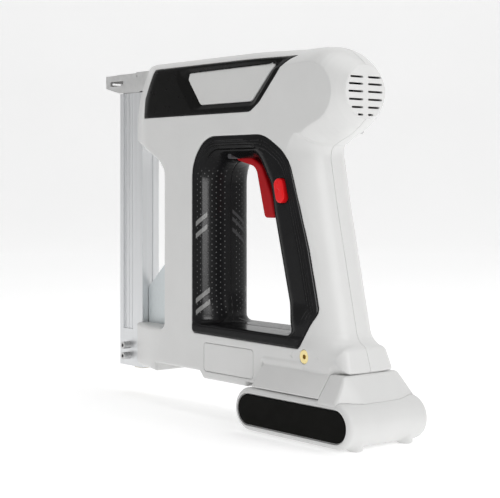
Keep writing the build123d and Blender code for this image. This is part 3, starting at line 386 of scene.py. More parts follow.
# ---------------------------------------------------------------- materials
MAT = {
    "white": plastic("shell_white", (0.73, 0.73, 0.722), rough=0.36, coat=0.15, grain=0.12),
    "battery_white": plastic("pack_white", (0.71, 0.71, 0.703), rough=0.36, coat=0.2, grain=0.12),
    "silver": plastic("inlay_grey", (0.70, 0.70, 0.69), rough=0.36, coat=0.1, grain=0.12),
    "black": plastic("trim_black", (0.0045, 0.0045, 0.0042), rough=0.30, grain=0.3,
                     spread=0.12, specular=0.10),
    "panel": plastic("panel_black", (0.0070, 0.0070, 0.0062), rough=0.62, grain=0.8,
                     grain_scale=1800.0, spread=0.1, specular=0.04),
    "red": plastic("signal_red", (0.46, 0.003, 0.007), rough=0.36, coat=0.05, grain=0.2,
                   spread=0.05, specular=0.15),
    "button": plastic("button_red", (0.85, 0.008, 0.012), rough=0.30, coat=0.1, grain=0.2,
                      spread=0.04, specular=0.2),
    "cream": plastic("cap_cream", (0.80, 0.77, 0.66), rough=0.45, grain=0.3),
    "alu": metal("extrusion", (0.80, 0.81, 0.82), rough=0.42, brush="Z", grain=0.35, spread=0.04),
    "alu_lever": metal("lever_alloy", (0.72, 0.76, 0.77), rough=0.5, grain=0.3),
    "cast": metal("cast_alloy", (0.55, 0.55, 0.55), rough=0.55, grain=0.6, depth=0.0002),
    "steel": metal("blasted_steel", (0.74, 0.74, 0.735), rough=0.46, grain=0.4),
    "bright": metal("bright_steel", (0.70, 0.70, 0.70), rough=0.25, brush="X", grain=0.2),
    "screw": metal("screw_steel", (0.56, 0.56, 0.56), rough=0.3, grain=0.2),
    "brass": metal("turned_brass", (0.86, 0.72, 0.36), rough=0.28, grain=0.25),
    "copper": metal("winding_copper", (0.75, 0.36, 0.18), rough=0.35, brush="X", grain=0.8),
    "magnet": plastic("ferrite", (0.05, 0.05, 0.055), rough=0.6, grain=0.6),
    "pu": plastic("bumper_pu", (0.42, 0.30, 0.05), rough=0.5, grain=0.3),
    "board": plastic("solder_mask", (0.01, 0.13, 0.05), rough=0.35, grain=0.3, spread=0.25),
    "cell": plastic("cell_sleeve", (0.03, 0.22, 0.36), rough=0.3, grain=0.1),
}


def grip_material():
    """black lining: fine pits, tinted lighter as painted glints, and slanted bars on the post in
    front of the finger hole
    """
    pit_pitch_arc, pit_pitch_z = 3.2, 4.0
    bar_centres, bar_half = (140.9, 132.0, 84.2, 75.6), 1.85
    dim_centres, dim_half = (150.5, 144.9, 136.9), 1.4
    material, tree, shader = new_material("grip_black")
    coords = add_node(tree, "TexCoord").outputs["Object"]
    split = add_node(tree, "SeparateXYZ", {0: coords})

    def calc(operation, first, second=0.0):
        return add_node(tree, "Math", {0: first, 1: second, 2: 0.0}, operation=operation).outputs[0]

    def times(first, second):
        return calc("MULTIPLY", first, second)

    def soft_edge(value, edge, soft, before, after):
        return add_node(tree, "MapRange", {
            "From Min": edge - soft, "From Max": edge + soft, "To Min": before, "To Max": after,
            "Value": value}, interpolation_type="SMOOTHSTEP").outputs[0]

    def window(value, low, high, soft):
        """1 between low and high, 0 outside"""
        return times(soft_edge(value, low, soft, 0.0, 1.0), soft_edge(value, high, soft, 1.0, 0.0))

    def stripes(value, centres, half, soft):
        bands = (window(value, centre - half, centre + half, soft) for centre in centres)
        return reduce(lambda a, b: calc("MAXIMUM", a, b), bands)

    def tint(factor, base, color):
        return add_node(tree, "Mix", {0: factor, 6: base, 7: (*color, 1.0)},
                        data_type="RGBA").outputs[2]

    x, y, z = (times(split.outputs[i], 1000.0) for i in range(3))
    # arc runs round the post from the parting plane outwards, in mm
    turn = calc("MINIMUM", calc("DIVIDE", calc("ABSOLUTE", y), HALF_WIDTH), 0.9999)
    arc = times(calc("ARCSINE", turn), 21.0)
    post = times(window(x, -140.0, -104.6, 0.6), window(z, 74.0, 181.0, 2.0))

    # staggered pits; their lighter tint is a painted glint
    column = calc("DIVIDE", arc, pit_pitch_arc)
    stagger = times(calc("MODULO", calc("FLOOR", column), 2.0), 0.5)
    row = calc("ADD", calc("DIVIDE", z, pit_pitch_z), stagger)
    off_arc = times(calc("SUBTRACT", calc("FRACT", column), 0.5), pit_pitch_arc)
    off_z = times(calc("SUBTRACT", calc("FRACT", row), 0.5), pit_pitch_z)
    radius = calc("SQRT", calc("ADD", times(off_arc, off_arc), times(off_z, off_z)))
    pits_and_glints = times(window(radius, -9.0, 0.46, 0.12), post)
    pits_and_glints = times(pits_and_glints, window(arc, 2.5, 29.5, 0.5))

    # raised bars near the outer end of the arc
    slant = calc("ADD", z, times(calc("SUBTRACT", arc, 28.7), 0.66))
    bars = stripes(slant, bar_centres, bar_half, soft=0.18)
    bar_end = calc("ADD", 16.0, times(window(z, 120.0, 160.0, 1.0), 2.0))
    bars = times(bars, times(calc("GREATER_THAN", arc, bar_end), window(arc, 0.0, 28.9, 0.25)))
    bars = times(bars, post)

    # dimmer bars near the parting plane, right half only
    slant = calc("ADD", z, times(calc("SUBTRACT", arc, 0.9), 0.77))
    dim_bars = stripes(slant, dim_centres, dim_half, soft=0.2)
    right_arc = times(window(arc, 1.2, 14.0, 0.3), calc("GREATER_THAN", y, 0.0))
    dim_bars = times(times(dim_bars, right_arc), post)

    clouds = noise(tree, coords, scale=60.0, detail=4.0)
    base = ramp(tree, clouds, (0.0028, 0.0028, 0.0029), (0.0038, 0.0038, 0.0041))
    # painted glints: the pits are tinted lighter than the black lining
    base = tint(pits_and_glints, base, (0.040, 0.040, 0.040))
    base = tint(dim_bars, base, (0.022, 0.022, 0.023))
    base = tint(bars, base, (0.075, 0.075, 0.074))
    feed(tree, shader, "Base Color", base)
    smudge = noise(tree, coords, scale=220.0)
    feed(tree, shader, "Roughness", map_noise(tree, smudge, low=0.20, high=0.25))
    # relief: weak grain, raised bars, sunk pits
    grain = times(noise(tree, coords, scale=2200.0, detail=2.0), 0.25)
    height = calc("ADD", grain, times(bars, 3.0))
    height = calc("SUBTRACT", height, times(pits_and_glints, 2.0))
    bump(tree, shader, height, strength=0.32, distance=0.00008)
    # the pits lose most of the highlight
    feed(tree, shader, "Specular IOR Level", times(calc("SUBTRACT", 1.0, times(pits_and_glints, 0.8)), 0.10))
    return material


MAT["grip"] = grip_material()

# ---------------------------------------------------------------- housing outlines
# rows are x, z and an optional corner radius
BLOCK = rounded_poly([
    (-216.0, 26.5, 1.5), (-172.0, 27.0, 0.8), (-172.0, 33.5, 0.8), (-115.0, 33.5, 1.5),
    (-110.0, 28.3, 1.5), (-60.0, 28.3, 0.8), (-60.0, 31.4, 0.8), (-42.0, 31.4), (-42.0, 47.0),
    (0.0, 47.0), (0.0, 63.3), (-48.0, 63.3), (-48.0, 200.0), (2.0, 200.0),
    (2.0, 262.8), (-194.5, 262.8, 4.0), (-199.0, 259.0, 4.0), (-214.0, 236.0, 8.0),
    (-214.0, 203.0, 3.0), (-188.0, 198.5, 5.0), (-167.0, 188.5, 9.0), (-159.5, 180.0, 9.0),
    (-159.5, 60.3, 5.5), (-216.0, 60.3, 1.5)])
# the finger hole, run on below its sill
FINGER_HOLE = rounded_poly([
    (-106.0, 20.0), (-106.0, 186.2, 15.0), (-60.0, 186.2, 14.0), (-47.0, 167.0, 20.0),
    (-43.5, 148.0, 60.0), (-25.4, 79.5, 11.0), (-10.0, 20.0)], 9)
LINING = rounded_poly([
    (-123.3, 61.0, 3.5), (-123.3, 186.0, 30.0), (-107.5, 204.7, 24.0), (-41.0, 204.7, 34.0),
    (-15.0, 189.5, 30.0), (3.9, 127.0, 60.0), (13.8, 85.5, 8.0), (-4.5, 60.0, 5.0)], 12)
TRIM = rounded_poly([
    (-216.5, 231.3), (-187.0, 220.9, 5.0), (-56.0, 220.9, 10.0), (-46.0, 227.0, 14.0),
    (-17.5, 255.6, 2.0), (-13.0, 257.3), (-216.5, 257.6)])
WINDOW = rounded_poly([
    (-128.5, 252.4, 1.5), (-130.6, 247.5, 3.0), (-115.5, 228.0, 4.0), (-56.0, 228.0, 6.0),
    (-30.0, 253.2, 1.5)])
WINDOW_BEVEL = rounded_poly([
    (-141.2, 255.6, 1.0), (-141.8, 246.5, 5.0), (-124.5, 224.6, 5.0), (-52.0, 224.6, 8.0),
    (-22.0, 255.8, 1.5)])
LABEL = rounded_poly([
    (-109.0, 34.0, 3.0), (-52.0, 34.0, 3.0), (-52.0, 55.0, 3.0), (-109.0, 55.0, 3.0)])
FOOT = rounded_poly([
    (-60.0, FOOT_BOTTOM), (41.0, FOOT_BOTTOM, 1.5), (35.4, FOOT_TOP, 3.5), (-60.0, FOOT_TOP)])
TRIGGER_SLOT = rounded_poly([
    (-97.5, 183.0), (-97.5, 198.0), (-82.0, 198.0), (-57.0, 193.0), (-39.5, 178.0),
    (-39.5, 144.0), (-75.0, 144.0)])
# section of the skirt over the battery: distance from the parting plane, z, radius
SKIRT = rounded_poly([
    (20.6, 50.4), (20.6, 45.4), (32.2, 31.3, 0.4), (35.4, 31.3, 0.8), (24.0, 46.6), (24.0, 50.4)])

# barrel profile: stations along X and the radius at each
BARREL_X = np.array([-80.0, -70.0, -60.0, -48.0, -35.0, -22.0, -10.0, 0.0, 6.0,
                     12.0, 17.0, 21.5, 25.5, 28.3, 30.3, 35.5, 40.0])
BARREL_RADIUS = np.array([18.0, 22.0, 24.6, 26.8, 29.0, 30.6, 31.5, 31.8, 31.7,
                          31.0, 29.7, 27.9, 25.6, 23.7, 22.3, 18.0, 14.2])


# ---------------------------------------------------------------- housing body
# side is the distance from the parting plane
def barrel(x, side, z):
    stations = np.linspace(-90, 45, 541)
    slope = np.gradient(np.interp(stations, BARREL_X, BARREL_RADIUS), 0.25)
    radius = np.interp(x, BARREL_X, BARREL_RADIUS).astype(np.float32)
    lean = 1.0 / np.sqrt(1 + np.interp(x, stations, slope) ** 2)
    from_axis = np.sqrt(side * side + (z - BARREL_Z) ** 2)
    return common((from_axis - radius) * lean, x - BARREL_REAR,
                  BARREL_FRONT - x).astype(np.float32)


def block(x, side, z):
    """main block, its sides narrowing towards the nose"""
    edge = (2.2 + 7.8 * smooth_step(z, 226.0, 250.0)
            + 14.0 * smooth_step(x, -62.0, -6.0) * smooth_step(z, 150.0, 200.0))
    solid = round_common(side - HALF_WIDTH, outline_distance(BLOCK, x, z), edge)
    nose_side = plane(29.97, (x, -214.0, -13.0), (side, 11.0, 27.0))
    nose_top = plane(748.7, (x, -214.0, -312.0), (side, 11.0, 648.0), (z, 236.0, 208.0))
    low_side = plane(46.5, (x, -216.0, -13.5), (side, 10.5, 44.5))
    taper = np.where(z > 130.0, round_common(nose_side, nose_top, 6.0), low_side)
    return round_common(solid, taper, 3.5)


def grip(x, side, z):
    """handle with a round back that leans forward as it rises"""
    back_x = 29.4 - 0.2270 * (z - 62.0) + 0.9 * smooth_step(z, 150, 185)
    solid = round_common(side - HALF_WIDTH, (x - back_x) * 0.975, 19.5)
    return common(solid, -(x + 58.0), z - 214.0, 50.0 - z)


def housing_foot(x, side, z):
    rise = np.clip((z - FOOT_BOTTOM) / (FOOT_TOP - FOOT_BOTTOM), 0, 1)
    wall = side - (HALF_WIDTH - 2.2 * smooth_step(x, -20.0, 10.0) * rise)
    edge = 3.0 + 4.5 * smooth_step(x, 18.0, 34.0)
    return round_common(wall, outline_distance(FOOT, x, z), edge)


def hole_limit(x, side, z):
    """space left by the finger hole: half-round posts and lintel on a flat sill"""
    reach = 17.5   # depth of the rounding into the posts
    outward = -outline_distance(FINGER_HOLE, x, z)
    across = np.maximum(reach + np.minimum(outward, 0.0), 0.0) / reach
    sideways = side / HALF_WIDTH
    level = np.sqrt(across * across + sideways * sideways)
    gradient = np.sqrt((across / reach) ** 2 + (sideways / HALF_WIDTH) ** 2)
    oval = (level - 1.0) / np.clip(gradient / np.maximum(level, 1e-3), 1.0 / HALF_WIDTH,
                                   1.0 / reach)
    oval = np.where(outward > 0, np.maximum(oval, outward), oval)
    sill = round_common(side - HALF_WIDTH, z - 67.6, 1.6)
    return round_union(oval, sill, 5.0)


def body(x, side, z):
    """outer skin of the whole housing"""
    solid = np.minimum(block(x, side, z), grip(x, side, z))
    solid = soft_union(solid, housing_foot(x, side, z), 9.0 * smooth_step(x, -8.0, 10.0))
    fillet = 15.0 * (1 - smooth_step(z, 226.0, 246.0)) * smooth_step(x, -66.0, -22.0) + 1.0
    solid = soft_union(solid, barrel(x, side, z), fillet)
    return np.maximum(solid, hole_limit(x, side, z))


# ---------------------------------------------------------------- lock button outline
BUTTON_X, BUTTON_Z = -22.6, 165.8
BUTTON_LENGTH, BUTTON_WIDTH, BUTTON_TILT = 17.0, 9.0, 12.5


def button_outline(x, z):
    """tilted capsule"""
    tilt = math.radians(BUTTON_TILT)
    along_x, along_z = -math.sin(tilt), math.cos(tilt)
    half = BUTTON_LENGTH / 2 - BUTTON_WIDTH / 2
    from_x, from_z = x - BUTTON_X, z - BUTTON_Z
    t = np.clip(from_x * along_x + from_z * along_z, -half, half)
    return np.sqrt((from_x - along_x * t) ** 2 + (from_z - along_z * t) ** 2) - BUTTON_WIDTH / 2


# ---------------------------------------------------------------- housing shells
WALL = 2.5
# x0, x1, half width, z0, z1
OPENINGS = [
    (-260, -210.6, 8.2, 0, 244.6),        # front face
    (-260, -188.0, 8.25, 243.0, 260.05),  # sloping top of the nose
    (-214.5, -196.0, 3.4, 255.0, 270.0),
    (-211.4, -166.0, 2.7, 38.0, 70.0),    # lower front block
    (-44.0, 70.0, 20.0, 0.0, 44.4),       # battery bay
    (-37.0, -13.0, 13.0, 43.0, 52.0),     # roof of the bay
]
# crosswise slots in the top, in three groups at one pitch
SLOT_PITCH, SLOT_LENGTH = 5, 2.2
SLOT_GROUPS = ((-150, 4), (-62, 4), (-36, 5))   # first x, count
OPENINGS += [(first + SLOT_PITCH * i, first + SLOT_PITCH * i + SLOT_LENGTH, 4.5, 257.0, 270.0)
             for first, count in SLOT_GROUPS for i in range(count)]
REAR_BORE = 17.25        # radius of the barrel's open rear end
BORE_X, BORE_Z = 2.2, 55.5   # stepped bore in the left half
# screw places in the right half: x, z
SCREWS = [(-176.0, 207.5), (-134.0, 206.5), (-33.0, 208.5), (13.5, 207.0), (-150.5, 176.0),
          (-150.5, 72.0), (-140.0, 46.5), (-55.5, 55.0), (26.5, 55.0)]
BOSS_RADIUS, SCREW_RADIUS, BOSS_BASE = 4.3, 3.1, 14.9
# lining steps on the front post: distance in from the edge, depth
LINING_STEPS = ((3.4, 0.75), (6.2, 0.65), (9.0, 0.55))
LINING_PROUD = 0.30
BEVEL_DEPTH = 2.6        # drop from the trim to the window

GRID_LOW, GRID_HIGH = (-218.6, -37.6, 24.4), (44.0, 1.6, 265.4)
X, Y, Z = axes(GRID_LOW, GRID_HIGH, HOUSING_STEP)
SIDE = np.abs(Y)
LEFT_HALF = Y + 0.015
SKIN = body(X, SIDE, Z)
LINING_EDGE = outline_distance(LINING, X, Z)
TRIM_EDGE = common(outline_distance(TRIM, X, Z), np.maximum(
    -187.0 - X, ((-187.0 - X) + 0.667 * (Z - 236.0)) * 0.832))
WINDOW_EDGE = outline_distance(WINDOW, X, Z)
BEVEL_EDGE = outline_distance(WINDOW_BEVEL, X, Z)
LABEL_EDGE = outline_distance(LABEL, X, Z)
SLOT = np.maximum(outline_distance(TRIGGER_SLOT, X, Z), SIDE - 6.35)


def from_line(x, z):
    """distance from a crosswise axis"""
    return np.sqrt((X - x) ** 2 + (Z - z) ** 2)


def recess(edge, depth):
    """pocket of the given depth below the skin"""
    return np.maximum(edge, -(SKIN + depth))


def bell(distance, width):
    return np.exp(-((distance / width) ** 2))


def lining():
    """skin round the finger hole, stepped on the front post"""
    post = smooth_step(X, -116.0, -104.0) * smooth_step(Z, 74.0, 92.0)
    steps = 0.0
    for start, depth in LINING_STEPS:
        inward = -LINING_EDGE - start
        drop = depth * smooth_step(-LINING_EDGE, start, start + 0.5)
        # a groove behind each step and a bead before it
        steps = steps + post * (drop + 0.45 * bell(inward - 0.75, 0.45)
                                - 0.30 * bell(inward + 0.25, 0.35))
    lip = 0.85 * smooth_step(68.2 - Z, 0.0, 1.2) * smooth_step(-(LINING_EDGE + 1.0), -1.0, 0.6)
    solid = round_common(SKIN - LINING_PROUD + steps - lip, LINING_EDGE + 0.10, 0.7)
    button_hole = np.maximum(button_outline(X, Z) - 0.3, 10.0 - SIDE)
    return np.maximum(cut(solid, SKIN + 2.4 + steps, SLOT, button_hole), LEFT_HALF)


def white_half():
    """hollow shell shared by both halves, before the parting cut"""
    skirt = round_common(outline_distance(SKIRT, SIDE, Z), np.maximum(X - 27.0, -41.0 - X), 0.5)
    solid = soft_union(SKIN, skirt, 1.6)
    solid = round_common(solid, -(LINING_EDGE - 0.10), 0.5)
    solid = cut(solid, recess(TRIM_EDGE - 0.05, 1.9))
    solid = cut(solid, recess(BEVEL_EDGE + 0.6, 4.2))
    solid = cut(solid, SKIN + WALL, SLOT)
    for opening in OPENINGS:
        solid = cut(solid, box(X, SIDE, Z, *opening))
    from_axis = np.sqrt(SIDE * SIDE + (Z - BARREL_Z) ** 2)
    return cut(solid, np.maximum(from_axis - REAR_BORE, 30.0 - X))


def left_shell(solid):
    """adds the label pocket, the stepped bore and the marks beside it"""
    bore = from_line(BORE_X, BORE_Z)
    arrow = outline_distance(np.array([
        (BORE_X - 15.6, BORE_Z), (BORE_X - 12.4, BORE_Z + 2.1), (BORE_X - 12.4, BORE_Z - 2.1)]),
        X, Z)
    # same order of sums as the mark's place needs: x less the bore, less the offset
    circle = np.abs(np.sqrt((X - BORE_X - 13.1) ** 2 + (Z - BORE_Z) ** 2) - 1.35) - 0.3
    solid = cut(solid, recess(LABEL_EDGE, 1.2), recess(np.minimum(arrow, circle), 0.35))
    solid = cut(solid, np.maximum(bore - 4.8, 21.8 - SIDE), np.maximum(bore - 2.6, 12.0 - SIDE))
    return np.maximum(solid, LEFT_HALF)


def right_shell(solid):
    """adds the screw bosses; built at -Y and mirrored later"""
    for x, z in SCREWS:
        radial = from_line(x, z)
        solid = np.minimum(solid, common(radial - BOSS_RADIUS, SKIN, BOSS_BASE - SIDE))
        solid = cut(solid, np.maximum(radial - SCREW_RADIUS, BOSS_BASE + 1.2 - SIDE))
    return np.maximum(solid, LEFT_HALF)


def trim():
    """top trim, sinking over the bevel frame towards the window"""
    to_window = np.maximum(-BEVEL_EDGE + np.maximum(WINDOW_EDGE, 0), 1e-3)
    fraction = np.clip(-BEVEL_EDGE / to_window, 0, 1)
    sunk = BEVEL_DEPTH * np.where(BEVEL_EDGE < 0, fraction, 0)
    solid = round_common(SKIN - 0.15 + sunk, TRIM_EDGE + 0.12, 0.5)
    solid = cut(solid, SKIN + 1.8 + 0.55 * sunk, WINDOW_EDGE - 0.02)
    return np.maximum(solid, TRIM_INNER - SIDE)


def window():
    solid = round_common(SKIN + 1.7, WINDOW_EDGE + 0.10, 0.8)
    return np.maximum(cut(solid, SKIN + 3.4), TRIM_INNER - SIDE)


def label():
    return cut(round_common(SKIN + 0.02, LABEL_EDGE + 0.22, 0.3), SKIN + 1.15)


def shell(name, field, material, node, mirror=False):
    ob = make_object(name, surface(field, HOUSING_STEP, GRID_LOW), MAT[material], mirror)
    thin(ob, 0.45)
    fit(ob, "housing", node)
    return ob


white = white_half()
shell("shell_left", left_shell(white), "white", "housing_left")
shell("shell_right", right_shell(white), "white", "housing_right", mirror=True)
paired = {}
for part, make_field, material, node in (
        ("lining", lining, "grip", "grip_ring"), ("trim", trim, "black", "top_trim"),
        ("window", window, "silver", "window_panel")):
    field = make_field()
    for hand, mirror in HANDS:
        name = part + "_" + hand
        paired[name] = shell(name, field, material, node + "_" + hand, mirror)
shell("label_plate", label(), "white", "label_panel_left")
del white, field

# ---------------------------------------------------------------- battery pack
PACK_HALF_WIDTH = 36.0
PACK_END_X, PACK_AXIS_Z, PACK_RADIUS = 43.7, 15.9, 14.9   # stadium section in X and Z
COVER_TOP = 46.6
# corners of the cover's slanted rear corner face: x, side, z
CORNER_FACE = ((41.0, 24.0, 47.0), (53.5, 17.6, 24.0), (45.0, 36.0, 29.5))
PACK_LOW = (-61.4, -math.ceil(37.3 / PACK_STEP) * PACK_STEP, -1.2)
PACK_HIGH = (61.6, 1.4, 48.6)


def pack_section(x, z):
    return np.sqrt(np.maximum(np.abs(x) - PACK_END_X, 0) ** 2
                   + (z - PACK_AXIS_Z) ** 2) - PACK_RADIUS


def pack_block(x, side, z):
    return round_common(pack_section(x, z), side - PACK_HALF_WIDTH, 4.0)


def pack_case(x, side, z):
    """hollow case with four round feet and a pad underneath"""
    section = pack_section(x, z)
    foot = np.sqrt((np.abs(x) - 49.5) ** 2 + (side - 22.5) ** 2) - 4.7
    foot = np.maximum(round_common(foot, -z, 0.8), z - 12.0)
    solid = soft_union(pack_block(x, side, z), foot, 2.6)
    pad = round_common(np.maximum(np.abs(x) - 19.0, side - 13.0), -z, 0.4)
    solid = np.minimum(solid, np.maximum(pad, z - 3.0))
    return cut(
        solid,
        np.maximum(section + 2.2, side - 32.8),                      # inside
        np.maximum(section + 3.8, 34.2 - side),                      # side panel openings
        common(-32.0 - x, x - 20.0, side - 16.0, 26.0 - z),          # top
        common(x + 52.0, side - 11.25, np.abs(z - 16.0) - 5.25))     # front end


def pack_cover(x, side, z):
    """slanted cover on the rear of the case, and the rail on top of it"""
    side_face = plane(19.48, (side, 24.0, 15.8), (z, COVER_TOP, 11.4))
    rear_face = plane(26.18, (x, 41.0, 23.0), (z, 47.0, 12.5))
    first, second, third = (np.array(corner) for corner in CORNER_FACE)
    normal = np.cross(second - first, third - first)
    normal = normal / np.linalg.norm(normal) * (1 if normal[0] > 0 else -1)
    corner_face = plane(1.0, *zip((x, side, z), first, normal))
    solid = round_common(round_common(side_face, corner_face, 1.6), rear_face, 1.6)
    solid = round_common(solid, z - COVER_TOP, 1.2)
    solid = round_common(solid, 27.4 - x, 0.6)
    solid = round_common(solid, side - 35.75, 0.5)
    solid = cut(np.maximum(solid, 23.0 - z), pack_block(x, side, z) - 0.06)
    rail = cut(
        box(x, side, z, -38.0, 30.0, 19.0, 30.85, 42.6),
        common(-35.5 - x, x - 29.0, side - 16.8, z - 36.5),                   # underside
        common(-39.5 - x, x + 14.0, np.abs(side - 8.0) - 1.4, 37.2 - z))      # two top grooves
    return np.minimum(solid, rail)


def full_width(name, field, material):
    """mirror the sampled half across Y = 0 so that the piece is one skin"""
    rows = int(round((0 - PACK_LOW[1]) / PACK_STEP))
    full = np.concatenate([field[:, : rows + 1, :], field[:, rows - 1::-1, :]], axis=1)
    points, tris, quads = surface(full, PACK_STEP, (0, 0, 0))
    points += np.array((PACK_LOW[0], -rows * PACK_STEP, PACK_LOW[2]))
    return make_object(name, (points, tris, quads), material)


def pack_panels():
    """dark panels let into both sides of the case"""
    low, high = (-57.0, -37.2, 0.6), (57.2, -33.0, 31.4)
    x, y, z = axes(low, high, PACK_STEP)
    solid = round_common(pack_section(x, z) + 4.5, -y - 35.75, 0.7)
    skin = surface(np.maximum(solid, y + 34.3), PACK_STEP, low)
    for hand, mirror in HANDS:
        ob = make_object("pack_panel_" + hand, skin, MAT["panel"], mirror)
        fit(ob, "battery_pack", "battery_panel_" + hand)


pack_x, pack_y, pack_z = axes(PACK_LOW, PACK_HIGH, PACK_STEP)
for name, make_field, node in (("pack_case", pack_case, "battery_case"),
                               ("pack_cover", pack_cover, "battery_cover")):
    field = make_field(pack_x, np.abs(pack_y), pack_z)
    ob = full_width(name, field, MAT["battery_white"])
    thin(ob, 0.4)
    fit(ob, "battery_pack", node)
pack_panels()

# ---------------------------------------------------------------- trigger and lock button
# x, z, corner radius
TRIGGER = rounded_poly([
    (-94.6, 191.4, 4.0), (-89.5, 196.0, 4.2), (-82.0, 193.2, 5.0), (-65.0, 184.0, 12.0),
    (-54.5, 164.0, 26.0), (-49.5, 146.3, 2.6), (-61.7, 146.3, 3.0), (-68.6, 171.0, 30.0),
    (-71.6, 182.4, 9.0), (-92.5, 187.4, 2.5)])
TRIGGER_RIB = rounded_poly([(-64.0, 176.0), (-52.6, 176.0), (-49.9, 152.0), (-58.0, 152.0)])
PIVOT_X, PIVOT_Z, PIVOT_RADIUS = -90.0, 190.6, 2.06
# small triangle sunk into the left button pad
BUTTON_MARK = np.array([(BUTTON_X - 1.2, BUTTON_Z + 1.6), (BUTTON_X + 1.4, BUTTON_Z + 0.2),
                        (BUTTON_X - 0.6, BUTTON_Z - 1.8)])


def trigger_blade(x, y, z):
    side = np.abs(y)
    blade = round_common(outline_distance(TRIGGER, x, z), side - 6.0, 1.7)
    rib = np.maximum(outline_distance(TRIGGER_RIB, x, z), side - 2.6)
    pivot = np.sqrt((x - PIVOT_X) ** 2 + (z - PIVOT_Z) ** 2) - PIVOT_RADIUS
    return cut(np.minimum(blade, rib), pivot)


def lock_pads(x, y, z):
    """a pad on each side, joined by a round bar"""
    outline = button_outline(x, z)
    left = np.maximum(round_common(outline, -26.2 - y, 1.3), y + 18.2)
    right = np.maximum(round_common(outline, y - 24.0, 1.2), 16.4 - y)
    bar = np.sqrt((x - BUTTON_X) ** 2 + (z - BUTTON_Z) ** 2) - 2.6
    bar = np.maximum(bar, np.abs(y) - 20.4)
    left = cut(left, np.maximum(outline_distance(BUTTON_MARK, x, z), y + 25.8))
    return common(-common(-left, -right, -bar))


def small_piece(name, low, high, make_field, material, carrier, node):
    field = make_field(*axes(low, high, SMALL_STEP)).astype(np.float32)
    fit(make_object(name, surface(field, SMALL_STEP, low), material), carrier, node)


small_piece("trigger_blade", (-96.5, -7.0, 144.8), (-47.5, 7.0, 197.5), trigger_blade,
            MAT["red"], "trigger_lever", "trigger")
small_piece("lock_pads", (-31.0, -28.0, 155.5), (-14.2, 25.2, 176.4), lock_pads,
            MAT["button"], "lock_bolt", "lock_button")

# ---------------------------------------------------------------- vent discs
VENT_RADIUS, VENT_THICK, VENT_BEVEL, VENT_FACE_X = 17.85, 2.5, 0.04, 35.60
VENT_ARC_STEPS = 48
VENT_SLOT_INNER, VENT_SLOT_HALF, VENT_SLOT_CORNER = 2.2, 0.7, 0.6
# slots: z, outer end from the parting plane
VENT_SLOTS = [(240.6, 13.8), (236.0, 15.0), (231.0, 15.4), (225.8, 15.0), (220.6, 12.6),
              (215.8, 7.0)]


def vent_outlines(sign):
    """half disc and its slots as (y, height above the barrel axis)"""
    arc = []
    for i in range(VENT_ARC_STEPS + 1):
        turn = math.pi * i / VENT_ARC_STEPS
        across = 0.0 if i in (0, VENT_ARC_STEPS) else VENT_RADIUS * math.sin(turn)
        arc.append((sign * across, VENT_RADIUS * math.cos(turn)))
    outlines = [arc]
    inner, corner = VENT_SLOT_INNER, VENT_SLOT_CORNER
    for slot_z, outer in VENT_SLOTS:
        low = slot_z - BARREL_Z - VENT_SLOT_HALF
        high = slot_z - BARREL_Z + VENT_SLOT_HALF
        slot = rounded_poly([(inner, low, corner), (outer, low, corner),
                             (outer, high, corner), (inner, high, corner)], 4)
        outlines.append([(sign * y, z) for y, z in slot])
    return outlines


def vent_disc(name, sign):
    curve = bpy.data.curves.new(name, "CURVE")
    curve.dimensions = "2D"
    curve.fill_mode = "BOTH"
    for outline in vent_outlines(sign):
        spline = curve.splines.new("POLY")
        spline.points.add(len(outline) - 1)
        for point, (y, z) in zip(spline.points, outline):
            point.co = (y * MM, z * MM, 0, 1)
        spline.use_cyclic_u = True
    curve.extrude = (VENT_THICK / 2 - VENT_BEVEL) * MM
    curve.bevel_depth = VENT_BEVEL * MM
    curve.bevel_resolution = 2
    curve.offset = -VENT_BEVEL * MM
    draft = add_object(name + "_c", curve)
    depsgraph = bpy.context.evaluated_depsgraph_get()
    mesh = bpy.data.meshes.new_from_object(draft.evaluated_get(depsgraph))
    bpy.data.objects.remove(draft)
    bpy.data.curves.remove(curve)
    mesh.name = name
    # curve x, y and z become Y, Z and X
    mesh.transform(Matrix(((0, 0, 1, (VENT_FACE_X - VENT_THICK / 2) * MM), (1, 0, 0, 0),
                           (0, 1, 0, BARREL_Z * MM), (0, 0, 0, 1))))
    mesh.materials.clear()
    mesh.materials.append(MAT["white"])
    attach(add_object(name, mesh), "housing")


vent_disc("vent_disc_left", -1)
vent_disc("vent_disc_right", 1)

# ---------------------------------------------------------------- CAD pieces shown as they are
CAD_PIECES = {
    "screw": "housing_screws nose_screws striker_springs lift_gear bevel_gear bevel_pinion "
             "planet_carrier planet_gears trigger_spring magazine_screws pusher_spring",
    "steel": "nose_plates nose_guide",
    "cast": "mechanism_frame gearbox_case striker_carriage",
    "bright": "guide_rods shaft_bearings motor_can striker_blade cross_shaft motor_shaft "
              "staple_strip",
    "pu": "striker_bumpers",
    "magnet": "motor_magnets motor_brushes pivot_pins",
    "black": "motor_end_cap cooling_fan trigger_switch switch_plunger staple_pusher "
             "contact_block battery_release",
    "copper": "motor_armature battery_contacts",
    "alu": "magazine_channel magazine_anchors magazine_core",
    "cream": "magazine_end_cap",
    "alu_lever": "magazine_latch",
    "brass": "lock_screw",
    "board": "controller_board battery_board",
    "cell": "battery_cells",
}
BEVELLED = ("nose_plates magazine_channel magazine_anchors magazine_screws magazine_latch "
            "lock_screw nose_guide magazine_end_cap battery_release")

for material, nodes in CAD_PIECES.items():
    for node in nodes.split():
        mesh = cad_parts[node].data
        mesh.materials.clear()
        mesh.materials.append(MAT[material])
        for polygon in mesh.polygons:
            polygon.material_index = 0
for node in BEVELLED.split():
    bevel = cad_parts[node].modifiers.new("edge", "BEVEL")
    bevel.width = 0.22 * MM
    bevel.segments = 2
    bevel.limit_method = "ANGLE"
    bevel.angle_limit = math.radians(40)
    bevel.harden_normals = False

# ---------------------------------------------------------------- springs
# drawn here, in the boxes of the CAD coils
COIL_STEPS = 20          # per turn
WIRE_SIDES = 8
FLAT_TURNS = 0.6         # closed turns at each end


